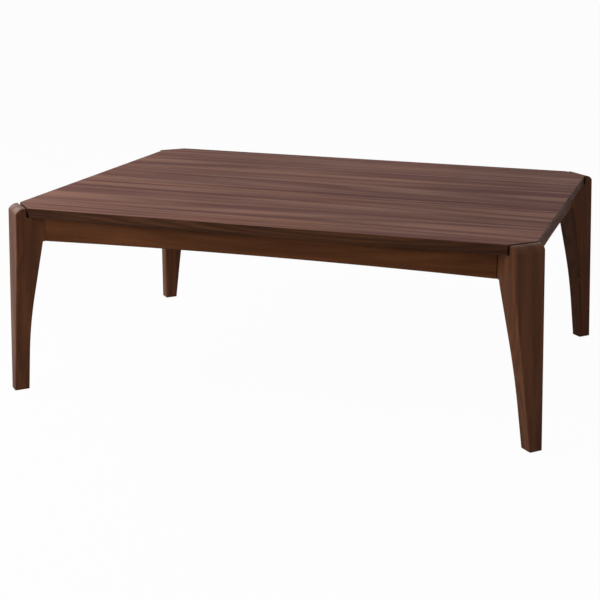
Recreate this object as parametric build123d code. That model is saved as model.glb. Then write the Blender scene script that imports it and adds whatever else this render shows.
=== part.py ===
from build123d import *
import math
import os

# A low heated table (kotatsu): a loose veneered top whose cut corners drop into notched legs,
# an under-frame of arched aprons, and a flat electric heater screwed to rails under the middle.
# Millimetres, +Z up. The origin is on the floor under the middle of the table, +X is along the
# length and -Y is the front. Each node is written to its own STEP file.

# ---- overall size -------------------------------------------------------------------------
TOP_LENGTH = 1050.0           # tabletop along X
TOP_WIDTH = 750.0             # tabletop along Y
TABLE_HEIGHT = 390.0          # floor to the face of the tabletop

# ---- tabletop -----------------------------------------------------------------------------
TOP_THICKNESS = 20.0
CORNER_CUT = 47.0             # length taken off each edge by the 45 degree corner
VENEER = 0.6                  # walnut face and balancing sheet
LIPPING_WIDTH = 9.0           # solid edge strips round the core
TOP_EDGE_BEVEL = 1.4
TOP_UNDER_ROUND = 3.0

# ---- legs, measured along the diagonal from the middle of a cut corner, outwards ------------
CORNER_GAP = 5.0              # cut corner to the wall of the notch
HORN_THICKNESS = 19.0         # the part of the leg that stands outside the tabletop
HORN_ROUND = 20.0             # radius of the horn's crowned top
HORN_CREST_OUT = 1.7          # crest of the crown outside the wall of the notch
HORN_CREST_DROP = 0.8         # crest below the face of the tabletop
HORN_EDGE_ROUND = 1.0
LEG_SPLAY = 24.0              # how much further out the leg's outer face is at the foot
LEG_WIDTH = 64.0              # across the diagonal, at the aprons
FOOT_WIDTH = 28.0
FOOT_DEPTH = 30.0
LEG_DEPTH_UNDER_APRON = 53.0
KNEE_HEIGHT = 145.0           # where the inner edge turns outwards
KNEE_RADIUS = 1000.0
SHOULDER_DROP = 15.0          # below the aprons, where the tapered side starts
LEG_EDGE_ROUND = 3.0

# ---- aprons -------------------------------------------------------------------------------
APRON_THICKNESS = 20.0
APRON_DEPTH = 49.0            # height of an apron at its ends
APRON_SETBACK = 21.0          # outer face behind the tabletop's edge
APRON_TOP_GAP = 1.0           # the tabletop rests on the legs alone
ARCH_RISE = 5.5               # lower edge, at the middle of each apron
APRON_EDGE_BEVEL = 1.2
JOINT_GAP = 2.0               # shadow gap between the end of an apron and a leg
JOINT_GAP_DEPTH = 6.0

# ---- corner plates and their fasteners ------------------------------------------------------
PLATE_THICKNESS = 2.0
PLATE_HEIGHT = 38.0
PLATE_PULL_GAP = 14.0         # open space between the head of the leg and the plate
FLANGE_LENGTH = 32.0
FLANGE_SCREW_SHARE = 0.55     # of the flange's length, from its bend to its screws
BOLT_RADIUS = 4.0
BOLT_SPACING = 20.0           # between the two bolts of a leg, along Z
BOLT_GRIP = 34.0              # length in the leg
BOLT_POINT_SHARE = 0.2        # of the bolt's radius, at its point
THREAD_CLEARANCE = 0.05
WASHER_RADIUS = 8.0
WASHER_THICKNESS = 1.6
NUT_FLATS = 13.0
NUT_HEIGHT = 6.5
BOLT_END = 3.0                # bolt past its nut
BOLT_CLEARANCE = 0.3          # hole in a plate or washer, round a bolt
SCREW_RADIUS = 1.9
SCREW_HEAD_RADIUS = 3.8
SCREW_HEAD_HEIGHT = 2.2
SCREW_LENGTH = 13.0
SCREW_DOME_SHARE = 0.6        # of the head's height, rounded
SCREW_POINT_SHARE = 0.15      # of the shank's radius, at its point
SCREW_SPACING = 18.0          # between the two screws of a flange, along Z
PILOT_SPARE = 0.5             # pilot hole past the point of its screw

# ---- heater rails ---------------------------------------------------------------------------
RAIL_WIDTH = 45.0
RAIL_THICKNESS = 20.0
BRACKET_WIDTH = 24.0
BRACKET_ARM = 24.0
BRACKET_THICKNESS = 2.0
BRACKET_SCREW_SHARE = 0.6     # of the arm's length, from the bend to its screw
CROSS_SCREW_LENGTH = 75.0     # through a long rail into the end of a short one
CROSS_SCREW_RADIUS = 2.2

# ---- heater ---------------------------------------------------------------------------------
TUBE_LENGTH = 232.0
TUBE_END_ROOM = 34.0          # end of a tube to the rail beyond it
TUBE_RADIUS = 5.5
TUBE_WALL = 1.0
TUBE_SPACING = 112.0
TUBE_DROP = 15.0              # tube axis below the reflector
PAN_WALL = 1.0
PAN_CORNER = 6.0
PAN_EDGE = 3.0
PAN_CLEARANCE = 8.0           # pan to rail, each side
PAN_UNDER_TOP = 3.0           # lid of the pan below the tabletop
FLANGE_REACH = 15.0           # how far the heater's flange laps under the rails
REFLECTOR_SHEET = 0.8
REFLECTOR_CAVITY = 12.0       # wiring space above the reflector
REFLECTOR_CLEARANCE = 3.0
SKIRT_WALL = 3.0
SKIRT_FLANGE = 2.0
SKIRT_DROP = 33.0
SKIRT_CORNER = 6.0
SKIRT_EDGE = 2.0
GUARD_LEDGE = 7.0
GUARD_LEDGE_THICKNESS = 2.0
GUARD_WIRE = 1.1              # radius
GUARD_RIM_WIRE = 1.7          # radius
GUARD_PITCH = 13.0
GUARD_PLAY = 0.8              # rim wire to the skirt's wall
GUARD_CROSS_WIRES = 3
COIL_RADIUS = 3.2
COIL_LEAD_RADIUS = 0.96
COIL_SHORTER = 36.0           # coil than tube
HOLDER_SIZE = 18.0            # ceramic end holder, along Y
HOLDER_LENGTH = 16.0          # along the tube
HOLDER_GRIP = 9.0             # tube length inside a holder
HOLDER_FLOOR = 3.0            # ceramic below the tube
HOLDER_BEVEL = 1.5
RUN_CLEARANCE = 0.2
THERMOSTAT_AT = (0.0, 0.0)    # the control parts stand on the reflector's back
THERMOSTAT_RADIUS = 8.0
THERMOSTAT_HEIGHT = 6.0
THERMOSTAT_FOOT = (12.0, 3.5, 1.2)
THERMOSTAT_TAG = (0.4, 3.0, 3.5)
THERMOSTAT_TAG_X = 5.0
FUSE_AT = (-50.0, 0.0)
FUSE_RADIUS = 2.5
FUSE_LENGTH = 14.0
FUSE_BEVEL = 0.6
TERMINAL_AT = (60.0, 0.0)
TERMINAL_LENGTH = 34.0
TERMINAL_WIDTH = 16.0
TERMINAL_HEIGHT = 8.0
TERMINAL_BEVEL = 1.0
TERMINAL_WELL_RADIUS = 2.7
TERMINAL_WELL_DEPTH = 3.1
TERMINAL_SCREW_RADIUS = 2.4
TERMINAL_SCREW_HEIGHT = 1.8
TERMINAL_SLOT = (0.8, 0.8)    # width and depth
INLET_WIDTH = 34.0
INLET_HEIGHT = 18.0
INLET_DEPTH = 24.0
INLET_MOUTH = 3.0             # wall round the socket's mouth
INLET_MOUTH_ROUND = 2.0
INLET_FLOOR = 3.0             # mouth's floor behind the roots of the pins
INLET_PROUD = 1.5             # face of the inlet in front of the skirt
INLET_BEZEL_RISE = 2.0        # bezel above and below the socket
INLET_PIN_RADIUS = 2.2
INLET_PIN_LENGTH = 14.0
INLET_PIN_SPACING = 13.0
INLET_PIN_BEVEL = 0.8
INLET_TO_HOLDER = 3.0         # its body in front of the front tube's holder
LEAD_RADIUS = 1.2
LEAD_BEND = 6.0
LEAD_RISE = 0.3               # lead above the reflector's back
LEAD_HOLE_RADIUS = 2.2
LEAD_FUSE_RUN = 25.0          # along X from the cut-out to the bend of its neighbour's lead
HEATER_SCREW_LENGTH = 17.0

# ---- feet -----------------------------------------------------------------------------------
GLIDE_RADIUS = 9.0
GLIDE_HEIGHT = 2.0
GLIDE_PIN_RADIUS = 1.4
GLIDE_PIN_LENGTH = 14.0
GLIDE_EDGE = 0.8

# ---- worked out from the above --------------------------------------------------------------
ROOT2 = math.sqrt(2.0)
BIG = 3.0 * TOP_LENGTH
TOP_UNDERSIDE = TABLE_HEIGHT - TOP_THICKNESS
CORNER_X = (TOP_LENGTH - CORNER_CUT) / 2
CORNER_Y = (TOP_WIDTH - CORNER_CUT) / 2
APRON_TOP = TOP_UNDERSIDE - APRON_TOP_GAP
APRON_BOTTOM = APRON_TOP - APRON_DEPTH
HORN_OUT = CORNER_GAP + HORN_THICKNESS
FRONT_FACE = TOP_WIDTH / 2 - APRON_SETBACK
SIDE_FACE = TOP_LENGTH / 2 - APRON_SETBACK
# Half the width between the aprons' inner faces grows by 1 mm for each mm towards the middle.
APRON_INNER_OFFSET = (APRON_THICKNESS + APRON_SETBACK - CORNER_CUT / 2) * ROOT2
HEAD_IN = -LEG_WIDTH / 2 - APRON_INNER_OFFSET
PLATE_R = HEAD_IN - PLATE_PULL_GAP
PLATE_Z = (APRON_TOP + APRON_BOTTOM) / 2
RAIL_TOP = APRON_TOP
RAIL_BOTTOM = RAIL_TOP - RAIL_THICKNESS
HEATER_BAY = TUBE_LENGTH + 2 * TUBE_END_ROOM
RAIL_X = (HEATER_BAY + RAIL_WIDTH) / 2
RAIL_LENGTH = 2 * (FRONT_FACE - APRON_THICKNESS)
PAN_SIZE = HEATER_BAY - 2 * PAN_CLEARANCE
FLANGE_SIZE = HEATER_BAY + 2 * FLANGE_REACH
PAN_TOP = TOP_UNDERSIDE - PAN_UNDER_TOP
HOUSING_FLANGE_Z = RAIL_BOTTOM - PAN_WALL
REFLECTOR_RIM_Z = HOUSING_FLANGE_Z - REFLECTOR_SHEET
SKIRT_TOP_Z = REFLECTOR_RIM_Z
SKIRT_BOTTOM_Z = SKIRT_TOP_Z - SKIRT_DROP
REFLECTOR_TOP = PAN_TOP - PAN_WALL - REFLECTOR_CAVITY
REFLECTOR_UNDER = REFLECTOR_TOP - REFLECTOR_SHEET
REFLECTOR_SIZE = PAN_SIZE - 2 * PAN_WALL - 2 * REFLECTOR_CLEARANCE
TUBE_Z = REFLECTOR_UNDER - TUBE_DROP
SKIRT_SIZE = PAN_SIZE
INLET_Y = -(TUBE_SPACING + HOLDER_SIZE + INLET_WIDTH) / 2 - INLET_TO_HOLDER
BOLT_HEIGHTS = [PLATE_Z - BOLT_SPACING / 2, PLATE_Z + BOLT_SPACING / 2]
SCREW_HEIGHTS = [PLATE_Z - SCREW_SPACING / 2, PLATE_Z + SCREW_SPACING / 2]
CORNERS = {
    "front_left": Pos(-CORNER_X, -CORNER_Y, 0) * Rot(0, 0, 225),
    "front_right": Pos(CORNER_X, -CORNER_Y, 0) * Rot(0, 0, 315),
    "back_right": Pos(CORNER_X, CORNER_Y, 0) * Rot(0, 0, 45),
    "back_left": Pos(-CORNER_X, CORNER_Y, 0) * Rot(0, 0, 135),
}


# ---- small helpers --------------------------------------------------------------------------
def write(name, *solids):
    """Write one node, a single solid or a group of separate ones."""
    shape = solids[0] if len(solids) == 1 else Compound(children=list(solids))
    export_step(shape, f"parts/{name}.step")


def slab(points, low, high):
    """A prism over a closed outline in plan, from one height to another."""
    face = make_face(Polyline(*points, close=True))
    return Pos(0, 0, low) * extrude(face, high - low)


def block(x0, x1, y0, y1, z0, z1):
    """A box between two corners."""
    return Pos((x0 + x1) / 2, (y0 + y1) / 2, (z0 + z1) / 2) * Box(x1 - x0, y1 - y0, z1 - z0)


def upright(radius, low, high):
    """A cylinder along Z between two heights."""
    return Pos(0, 0, (low + high) / 2) * Cylinder(radius, high - low)


def along_x(radius, x0, x1):
    """A cylinder along X between two places."""
    return Pos((x0 + x1) / 2, 0, 0) * Rot(0, 90, 0) * Cylinder(radius, x1 - x0)


def screw(length, radius, head_radius, head_height):
    """A round-headed screw along Z: the shank points up from 0 and the head hangs below."""
    dome = Pos(0, 0, -head_height / 2) * Cylinder(head_radius, head_height)
    dome = fillet(dome.edges().sort_by(Axis.Z)[0], head_height * SCREW_DOME_SHARE)
    tip = radius * 2
    shank = upright(radius, 0, length - tip)
    point = Pos(0, 0, length - tip / 2) * Cone(radius, radius * SCREW_POINT_SHARE, tip)
    return dome + shank + point


# ---- tabletop -------------------------------------------------------------------------------
def octagon(inset):
    """The tabletop's outline, moved in by a distance, anticlockwise from the front left."""
    a = TOP_LENGTH / 2 - inset
    b = TOP_WIDTH / 2 - inset
    c = CORNER_CUT - inset * (2 - ROOT2)
    return [
        (-a + c, -b), (a - c, -b), (a, -b + c), (a, b - c),
        (a - c, b), (-a + c, b), (-a, b - c), (-a, -b + c),
    ]


def build_tabletop():
    """Core, sheets and edge strips, all cut from one eased board so that their faces line up."""
    board = slab(octagon(0), TOP_UNDERSIDE, TABLE_HEIGHT)
    board = fillet(board.edges().group_by(Axis.Z)[0], TOP_UNDER_ROUND)
    board = chamfer(board.edges().group_by(Axis.Z)[-1], TOP_EDGE_BEVEL)
    face_low = TABLE_HEIGHT - VENEER
    back_high = TOP_UNDERSIDE + VENEER
    write("tabletop_veneer", board & block(-BIG, BIG, -BIG, BIG, face_low, TABLE_HEIGHT + 1))
    write("tabletop_backing_sheet", board & block(-BIG, BIG, -BIG, BIG, TOP_UNDERSIDE - 1, back_high))
    write("tabletop_core", slab(octagon(LIPPING_WIDTH), back_high, face_low))
    band = board & block(-BIG, BIG, -BIG, BIG, back_high, face_low)
    band = band - slab(octagon(LIPPING_WIDTH), back_high - 1, face_low + 1)
    inner = octagon(LIPPING_WIDTH)
    outer = octagon(0)
    strips = []
    for i in range(8):
        j = (i + 1) % 8
        reach = [(2 * o[0] - n[0], 2 * o[1] - n[1]) for o, n in zip(outer, inner)]
        wedge = slab([inner[i], reach[i], reach[j], inner[j]], TOP_UNDERSIDE, TABLE_HEIGHT)
        strips.append(band & wedge)
    for i, name in enumerate(["front", "right", "back", "left"]):
        write(f"{name}_edge_strip", strips[2 * i])
    write("corner_edge_strips", *strips[1::2])


# ---- legs -----------------------------------------------------------------------------------
def leg_profile():
    """The leg seen across the diagonal: horn, notch, head and the bent inner edge."""
    foot_out = HORN_OUT + LEG_SPLAY
    slope = LEG_SPLAY / (TABLE_HEIGHT - GLIDE_HEIGHT)

    def outer(z):
        return foot_out - slope * (z - GLIDE_HEIGHT)

    low = GLIDE_HEIGHT
    points = [
        (foot_out, low),
        (HORN_OUT, TABLE_HEIGHT),
        (CORNER_GAP, TABLE_HEIGHT),
        (CORNER_GAP, TOP_UNDERSIDE),
        (HEAD_IN, TOP_UNDERSIDE),
        (HEAD_IN, APRON_BOTTOM),
        (outer(APRON_BOTTOM) - LEG_DEPTH_UNDER_APRON, APRON_BOTTOM),
        (outer(KNEE_HEIGHT) - FOOT_DEPTH, KNEE_HEIGHT),
        (foot_out - FOOT_DEPTH, low),
    ]
    edges = [Line(a, b) for a, b in zip(points, points[1:] + points[:1])]
    face = make_face(Wire(edges))
    knee = [v for v in face.vertices() if abs(v.Y - KNEE_HEIGHT) < 0.01]
    return fillet(knee, KNEE_RADIUS)


def leg_front():
    """The leg seen along the diagonal: only the side towards a long apron tapers to the foot."""
    shoulder = APRON_BOTTOM - SHOULDER_DROP
    half = LEG_WIDTH / 2
    points = [
        (-half, GLIDE_HEIGHT), (FOOT_WIDTH - half, GLIDE_HEIGHT), (half, shoulder),
        (half, TABLE_HEIGHT), (-half, TABLE_HEIGHT),
    ]
    return make_face(Polyline(*points, close=True))


def crown_horn(leg):
    """Cut the horn's top to its crown, which meets the outer face in an eased edge."""
    middle = TABLE_HEIGHT - HORN_CREST_DROP - HORN_ROUND
    barrel = Rot(90, 0, 0) * Cylinder(HORN_ROUND, 3 * LEG_WIDTH)
    waste = block(CORNER_GAP - 1, HORN_OUT + HORN_ROUND, -LEG_WIDTH, LEG_WIDTH,
                  middle, TABLE_HEIGHT + 1)
    waste -= Pos(CORNER_GAP + HORN_CREST_OUT, 0, middle) * barrel
    leg = leg - waste
    crown = leg.faces().sort_by(Axis.Z)[-1]
    return fillet(crown.edges(), HORN_EDGE_ROUND)


def bolt_hole():
    """The holes in the head of a leg for its two hanger bolts."""
    holes = [
        Pos(0, 0, z) * along_x(BOLT_RADIUS + THREAD_CLEARANCE, HEAD_IN - 1, HEAD_IN + BOLT_GRIP + 1)
        for z in BOLT_HEIGHTS
    ]
    return holes[0] + holes[1]


def foot_place():
    """The middle of a foot, along and across the diagonal."""
    return Pos(HORN_OUT + LEG_SPLAY - FOOT_DEPTH / 2, (FOOT_WIDTH - LEG_WIDTH) / 2, 0)


def build_leg():
    """One leg about its own diagonal, which points along +X."""
    side = Plane.XZ * leg_profile()
    body = extrude(side, LEG_WIDTH, both=True)
    front = Plane.YZ * leg_front()
    leg = body & extrude(front, BIG, both=True)
    long_edges = [
        e for e in leg.edges()
        if e.bounding_box().size.Z > 60 and e.center().X > CORNER_GAP - 1 or
        e.bounding_box().size.Z > 100
    ]
    leg = crown_horn(fillet(long_edges, LEG_EDGE_ROUND))
    leg -= bolt_hole()
    pin_top = GLIDE_HEIGHT + GLIDE_PIN_LENGTH + PILOT_SPARE
    leg -= foot_place() * upright(GLIDE_PIN_RADIUS + THREAD_CLEARANCE, 0, pin_top)
    return leg


def build_glide():
    """A nail-in glide under a foot."""
    pad = upright(GLIDE_RADIUS, 0, GLIDE_HEIGHT)
    pad = fillet(pad.edges().sort_by(Axis.Z)[0], GLIDE_EDGE)
    pin = upright(GLIDE_PIN_RADIUS, GLIDE_HEIGHT, GLIDE_HEIGHT + GLIDE_PIN_LENGTH)
    return foot_place() * (pad + pin)


# ---- corner plates --------------------------------------------------------------------------
def corner_plate():
    """A bent steel plate across a corner, with a flange on each apron."""
    half = -PLATE_R - APRON_INNER_OFFSET
    run = FLANGE_LENGTH / ROOT2
    skin = PLATE_THICKNESS
    lap = skin / ROOT2
    inner_half = half - skin * (ROOT2 - 1)
    outline = [
        (PLATE_R, -half),
        (PLATE_R, half),
        (PLATE_R - run, half + run),
        (PLATE_R - run - lap, half + run - lap),
        (PLATE_R - skin, inner_half),
        (PLATE_R - skin, -inner_half),
        (PLATE_R - run - lap, -half - run + lap),
        (PLATE_R - run, -half - run),
    ]
    plate = slab(outline, PLATE_Z - PLATE_HEIGHT / 2, PLATE_Z + PLATE_HEIGHT / 2)
    for z in BOLT_HEIGHTS:
        plate -= Pos(PLATE_R, 0, z) * along_x(BOLT_RADIUS + BOLT_CLEARANCE, -2 * skin, skin)
    for place in flange_places():
        plate -= place * upright(SCREW_RADIUS + THREAD_CLEARANCE, -skin, 2 * skin)
    return plate


def flange_places():
    """Where the flange screws enter: +Z points through the flange into the apron."""
    half = -PLATE_R - APRON_INNER_OFFSET
    middle = FLANGE_LENGTH * FLANGE_SCREW_SHARE / ROOT2
    lap = PLATE_THICKNESS / ROOT2
    places = []
    for side in (-1, 1):
        for z in SCREW_HEIGHTS:
            seat = Pos(PLATE_R - middle - lap, side * (half + middle - lap), z)
            places.append(seat * Rot(0, 0, side * 45) * Rot(0, 90, 0))
    return places


def hanger_bolts():
    """The two bolts of a leg, from the head of the leg through the plate and the nut."""
    outer_end = PLATE_R - PLATE_THICKNESS - WASHER_THICKNESS - NUT_HEIGHT - BOLT_END
    bolts = []
    for z in BOLT_HEIGHTS:
        point = BOLT_RADIUS * 2
        rod = along_x(BOLT_RADIUS, outer_end, HEAD_IN + BOLT_GRIP - point)
        cone = Rot(0, 90, 0) * Cone(BOLT_RADIUS, BOLT_RADIUS * BOLT_POINT_SHARE, point)
        rod += Pos(HEAD_IN + BOLT_GRIP - point / 2, 0, 0) * cone
        bolts.append(Pos(0, 0, z) * rod)
    return bolts


def bolt_washers():
    """Plain washers against the inside of a plate."""
    face = PLATE_R - PLATE_THICKNESS
    ring = along_x(WASHER_RADIUS, face - WASHER_THICKNESS, face)
    ring -= along_x(BOLT_RADIUS + BOLT_CLEARANCE, face - WASHER_THICKNESS - 1, face + 1)
    return [Pos(0, 0, z) * ring for z in BOLT_HEIGHTS]


def bolt_nuts():
    """Hexagon nuts that draw a leg against its aprons."""
    face = PLATE_R - PLATE_THICKNESS - WASHER_THICKNESS
    hexagon = RegularPolygon(NUT_FLATS / 2, 6, major_radius=False)
    nut = extrude(hexagon, NUT_HEIGHT)
    nut -= Pos(0, 0, NUT_HEIGHT / 2) * Cylinder(BOLT_RADIUS + THREAD_CLEARANCE, NUT_HEIGHT + 2)
    nut = Pos(face, 0, 0) * Rot(0, -90, 0) * nut
    return [Pos(0, 0, z) * nut for z in BOLT_HEIGHTS]


def flange_screws():
    """The four wood screws that hold a plate to its two aprons."""
    body = screw(SCREW_LENGTH, SCREW_RADIUS, SCREW_HEAD_RADIUS, SCREW_HEAD_HEIGHT)
    return [place * body for place in flange_places()]


def at_corners(solids):
    """Copies of a corner's solids at all four corners."""
    return [corner * solid for corner in CORNERS.values() for solid in solids]


def handed(solid):
    """A leg's solid for each corner, mirrored where the long apron is on the other side."""
    other = mirror(solid, about=Plane.XZ)
    return {
        name: corner * (other if name in ("front_right", "back_left") else solid)
        for name, corner in CORNERS.items()
    }


# ---- aprons ---------------------------------------------------------------------------------
def apron(outer_half, face):
    """An apron along X with its outer face at -face, mitred against the legs' sides.

    Its show face stops short of the legs, which leaves a narrow shadow gap at each joint.
    """
    inner_half = outer_half - APRON_THICKNESS
    inner_face = face - APRON_THICKNESS
    run = outer_half + APRON_THICKNESS
    arch_radius = (ARCH_RISE**2 + outer_half**2) / (2 * ARCH_RISE)
    body = block(-run, run, -face, -inner_face, APRON_BOTTOM - ARCH_RISE, APRON_TOP)
    arch = Rot(90, 0, 0) * Cylinder(arch_radius, BIG)
    body -= Pos(0, 0, APRON_BOTTOM + ARCH_RISE - arch_radius) * arch
    low_edges = [e for e in body.edges() if e.length > outer_half and e.center().Z < PLATE_Z]
    body = chamfer(low_edges, APRON_EDGE_BEVEL)
    show_half = outer_half - JOINT_GAP * ROOT2
    step = JOINT_GAP_DEPTH
    right = [
        (show_half, -face), (show_half - step, step - face),
        (outer_half - step, step - face), (inner_half, -inner_face),
    ]
    left = [(-x, y) for x, y in reversed(right)]
    return body & slab(right + left, APRON_BOTTOM - 2 * ARCH_RISE, APRON_TOP + 1)


def flange_screw_holes():
    """Pilot holes for every flange screw."""
    hole = upright(SCREW_RADIUS + THREAD_CLEARANCE, -1, SCREW_LENGTH + PILOT_SPARE)
    return at_corners([place * hole for place in flange_places()])


def build_aprons():
    """Four aprons with the pilot holes of the plates and of the rail brackets."""
    diagonal_half = LEG_WIDTH / ROOT2
    front_half = CORNER_X - CORNER_Y + FRONT_FACE - diagonal_half
    side_half = CORNER_Y - CORNER_X + SIDE_FACE - diagonal_half
    holes = flange_screw_holes() + bracket_screw_holes()
    aprons = {
        "front_apron": apron(front_half, FRONT_FACE),
        "back_apron": Rot(0, 0, 180) * apron(front_half, FRONT_FACE),
        "right_apron": Rot(0, 0, 90) * apron(side_half, SIDE_FACE),
        "left_apron": Rot(0, 0, -90) * apron(side_half, SIDE_FACE),
    }
    for name, body in aprons.items():
        write(name, drill(body, holes))


def drill(body, holes):
    """Cut every hole that reaches into a solid."""
    box = body.bounding_box()
    for hole in holes:
        place = hole.bounding_box()
        if place.min.X < box.max.X and place.max.X > box.min.X:
            if place.min.Y < box.max.Y and place.max.Y > box.min.Y:
                if place.min.Z < box.max.Z and place.max.Z > box.min.Z:
                    body = body - hole
    return body


# ---- heater rails ---------------------------------------------------------------------------
def bracket_places():
    """The inner face of an apron under each end of a long rail: +X points to the middle."""
    inner = FRONT_FACE - APRON_THICKNESS
    return [
        Pos(x, y * inner, RAIL_BOTTOM) * Rot(0, 0, -90 * y)
        for x in (-RAIL_X, RAIL_X) for y in (-1, 1)
    ]


def rail_bracket():
    """A steel angle: one arm on the apron, one under the rail."""
    half = BRACKET_WIDTH / 2
    skin = BRACKET_THICKNESS
    wall = block(0, skin, -half, half, -BRACKET_ARM, 0)
    shelf = block(0, BRACKET_ARM, -half, half, -skin, 0)
    body = wall + shelf
    for place in bracket_screw_seats():
        body -= place * upright(SCREW_RADIUS + THREAD_CLEARANCE, -skin, 2 * skin)
    return body


def bracket_screw_seats():
    """Screw seats on a bracket: into the apron and up into the rail."""
    skin = BRACKET_THICKNESS
    reach = BRACKET_ARM * BRACKET_SCREW_SHARE
    return [Pos(skin, 0, -reach) * Rot(0, -90, 0), Pos(reach, 0, -skin)]


def bracket_screws():
    """The two screws of a bracket."""
    body = screw(SCREW_LENGTH, SCREW_RADIUS, SCREW_HEAD_RADIUS, SCREW_HEAD_HEIGHT)
    return [seat * body for seat in bracket_screw_seats()]


def bracket_screw_holes():
    """Pilot holes of the brackets, in the aprons and the rails."""
    hole = upright(SCREW_RADIUS + THREAD_CLEARANCE, -1, SCREW_LENGTH + PILOT_SPARE)
    return [place * seat * hole for place in bracket_places() for seat in bracket_screw_seats()]


def cross_screw_places():
    """Where the screws of the short rails enter: +Z points to the middle of the table."""
    outer = RAIL_X + RAIL_WIDTH / 2
    height = (RAIL_TOP + RAIL_BOTTOM) / 2
    return [
        Pos(side * outer, y, height) * Rot(0, -90 * side, 0)
        for side in (-1, 1) for y in (-RAIL_X, RAIL_X)
    ]


def cross_screw():
    """A long countersunk screw whose head is level with the rail."""
    cone = Pos(0, 0, SCREW_HEAD_HEIGHT / 2) * Cone(
        SCREW_HEAD_RADIUS, CROSS_SCREW_RADIUS, SCREW_HEAD_HEIGHT
    )
    return cone + upright(CROSS_SCREW_RADIUS, SCREW_HEAD_HEIGHT, CROSS_SCREW_LENGTH)


def cross_screw_hole():
    """The countersunk hole that a cross screw runs in."""
    clear = THREAD_CLEARANCE
    cone = Pos(0, 0, SCREW_HEAD_HEIGHT / 2) * Cone(
        SCREW_HEAD_RADIUS + clear, CROSS_SCREW_RADIUS + clear, SCREW_HEAD_HEIGHT
    )
    shank = upright(CROSS_SCREW_RADIUS + clear, 0, CROSS_SCREW_LENGTH + PILOT_SPARE)
    return cone + shank


def heater_screw_places():
    """The four corners of the heater's flange: +Z points up into the rails."""
    reach = (HEATER_BAY + FLANGE_REACH) / 2
    low = SKIRT_TOP_Z - SKIRT_FLANGE
    return [Pos(x, y, low) for x in (-reach, reach) for y in (-reach / 2, reach / 2)]


def build_rails():
    """Two long rails between the front and back aprons and two short ones between those."""
    holes = bracket_screw_holes()
    holes += [place * cross_screw_hole() for place in cross_screw_places()]
    pilot = upright(SCREW_RADIUS + THREAD_CLEARANCE, -1, HEATER_SCREW_LENGTH + PILOT_SPARE)
    holes += [place * pilot for place in heater_screw_places()]
    half = RAIL_WIDTH / 2
    run = RAIL_LENGTH / 2
    for name, x in (("left_heater_rail", -RAIL_X), ("right_heater_rail", RAIL_X)):
        body = block(x - half, x + half, -run, run, RAIL_BOTTOM, RAIL_TOP)
        write(name, drill(body, holes))
    reach = HEATER_BAY / 2
    for name, y in (("front_heater_rail", -RAIL_X), ("back_heater_rail", RAIL_X)):
        body = block(-reach, reach, y - half, y + half, RAIL_BOTTOM, RAIL_TOP)
        write(name, drill(body, holes))


# ---- heater ---------------------------------------------------------------------------------
def screw_clearance(body):
    """Cut the four mounting holes through one layer of the flange."""
    for place in heater_screw_places():
        hole = upright(SCREW_RADIUS + BOLT_CLEARANCE, -SKIRT_FLANGE, HEATER_SCREW_LENGTH)
        body = body - place * hole
    return body


def heater_housing():
    """The pressed steel pan that closes the top of the heater."""
    rim = block(-FLANGE_SIZE / 2, FLANGE_SIZE / 2, -PAN_SIZE / 2, PAN_SIZE / 2,
                HOUSING_FLANGE_Z, RAIL_BOTTOM)
    half = PAN_SIZE / 2
    pan = block(-half, half, -half, half, HOUSING_FLANGE_Z, PAN_TOP)
    pan = fillet(pan.edges().filter_by(Axis.Z), PAN_CORNER)
    pan = fillet(pan.faces().sort_by(Axis.Z)[-1].edges(), PAN_EDGE)
    hollow_half = half - PAN_WALL
    hollow = block(-hollow_half, hollow_half, -hollow_half, hollow_half,
                   HOUSING_FLANGE_Z - 1, PAN_TOP - PAN_WALL)
    hollow = fillet(hollow.edges().filter_by(Axis.Z), PAN_CORNER - PAN_WALL)
    return screw_clearance(rim + pan - hollow)


def heater_reflector():
    """A bright tray over the tubes, clamped by its rim between housing and skirt."""
    rim = block(-FLANGE_SIZE / 2, FLANGE_SIZE / 2, -PAN_SIZE / 2, PAN_SIZE / 2,
                REFLECTOR_RIM_Z, HOUSING_FLANGE_Z)
    half = REFLECTOR_SIZE / 2
    slope = REFLECTOR_TOP - REFLECTOR_RIM_Z
    sheet = REFLECTOR_SHEET
    outer = loft([
        Pos(0, 0, REFLECTOR_RIM_Z) * Rectangle(2 * half, 2 * half),
        Pos(0, 0, REFLECTOR_TOP) * Rectangle(2 * (half - slope), 2 * (half - slope)),
    ])
    inner = loft([
        Pos(0, 0, REFLECTOR_RIM_Z - sheet) * Rectangle(2 * half, 2 * half),
        Pos(0, 0, REFLECTOR_UNDER) * Rectangle(2 * (half - slope), 2 * (half - slope)),
    ])
    tray = screw_clearance(rim + outer - inner)
    for x, y in lead_holes():
        tray -= Pos(x, y, REFLECTOR_TOP) * Cylinder(LEAD_HOLE_RADIUS, 6 * sheet)
    return tray


def heater_skirt():
    """The moulded surround below the rails, with a ledge for the guard and the inlet's opening."""
    flange = block(-FLANGE_SIZE / 2, FLANGE_SIZE / 2, -PAN_SIZE / 2, PAN_SIZE / 2,
                   SKIRT_TOP_Z - SKIRT_FLANGE, SKIRT_TOP_Z)
    half = SKIRT_SIZE / 2
    wall = block(-half, half, -half, half, SKIRT_BOTTOM_Z, SKIRT_TOP_Z)
    wall = fillet(wall.edges().filter_by(Axis.Z), SKIRT_CORNER)
    wall = fillet(wall.faces().sort_by(Axis.Z)[0].edges(), SKIRT_EDGE)
    inside = half - SKIRT_WALL
    well = block(-inside, inside, -inside, inside,
                 SKIRT_BOTTOM_Z + GUARD_LEDGE_THICKNESS, SKIRT_TOP_Z + 1)
    mouth = inside - GUARD_LEDGE
    opening = block(-mouth, mouth, -mouth, mouth, SKIRT_BOTTOM_Z - 1, SKIRT_TOP_Z)
    body = screw_clearance(flange + wall - well - opening)
    slot = inlet_box(INLET_DEPTH * 2, RUN_CLEARANCE)
    return body - slot


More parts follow.
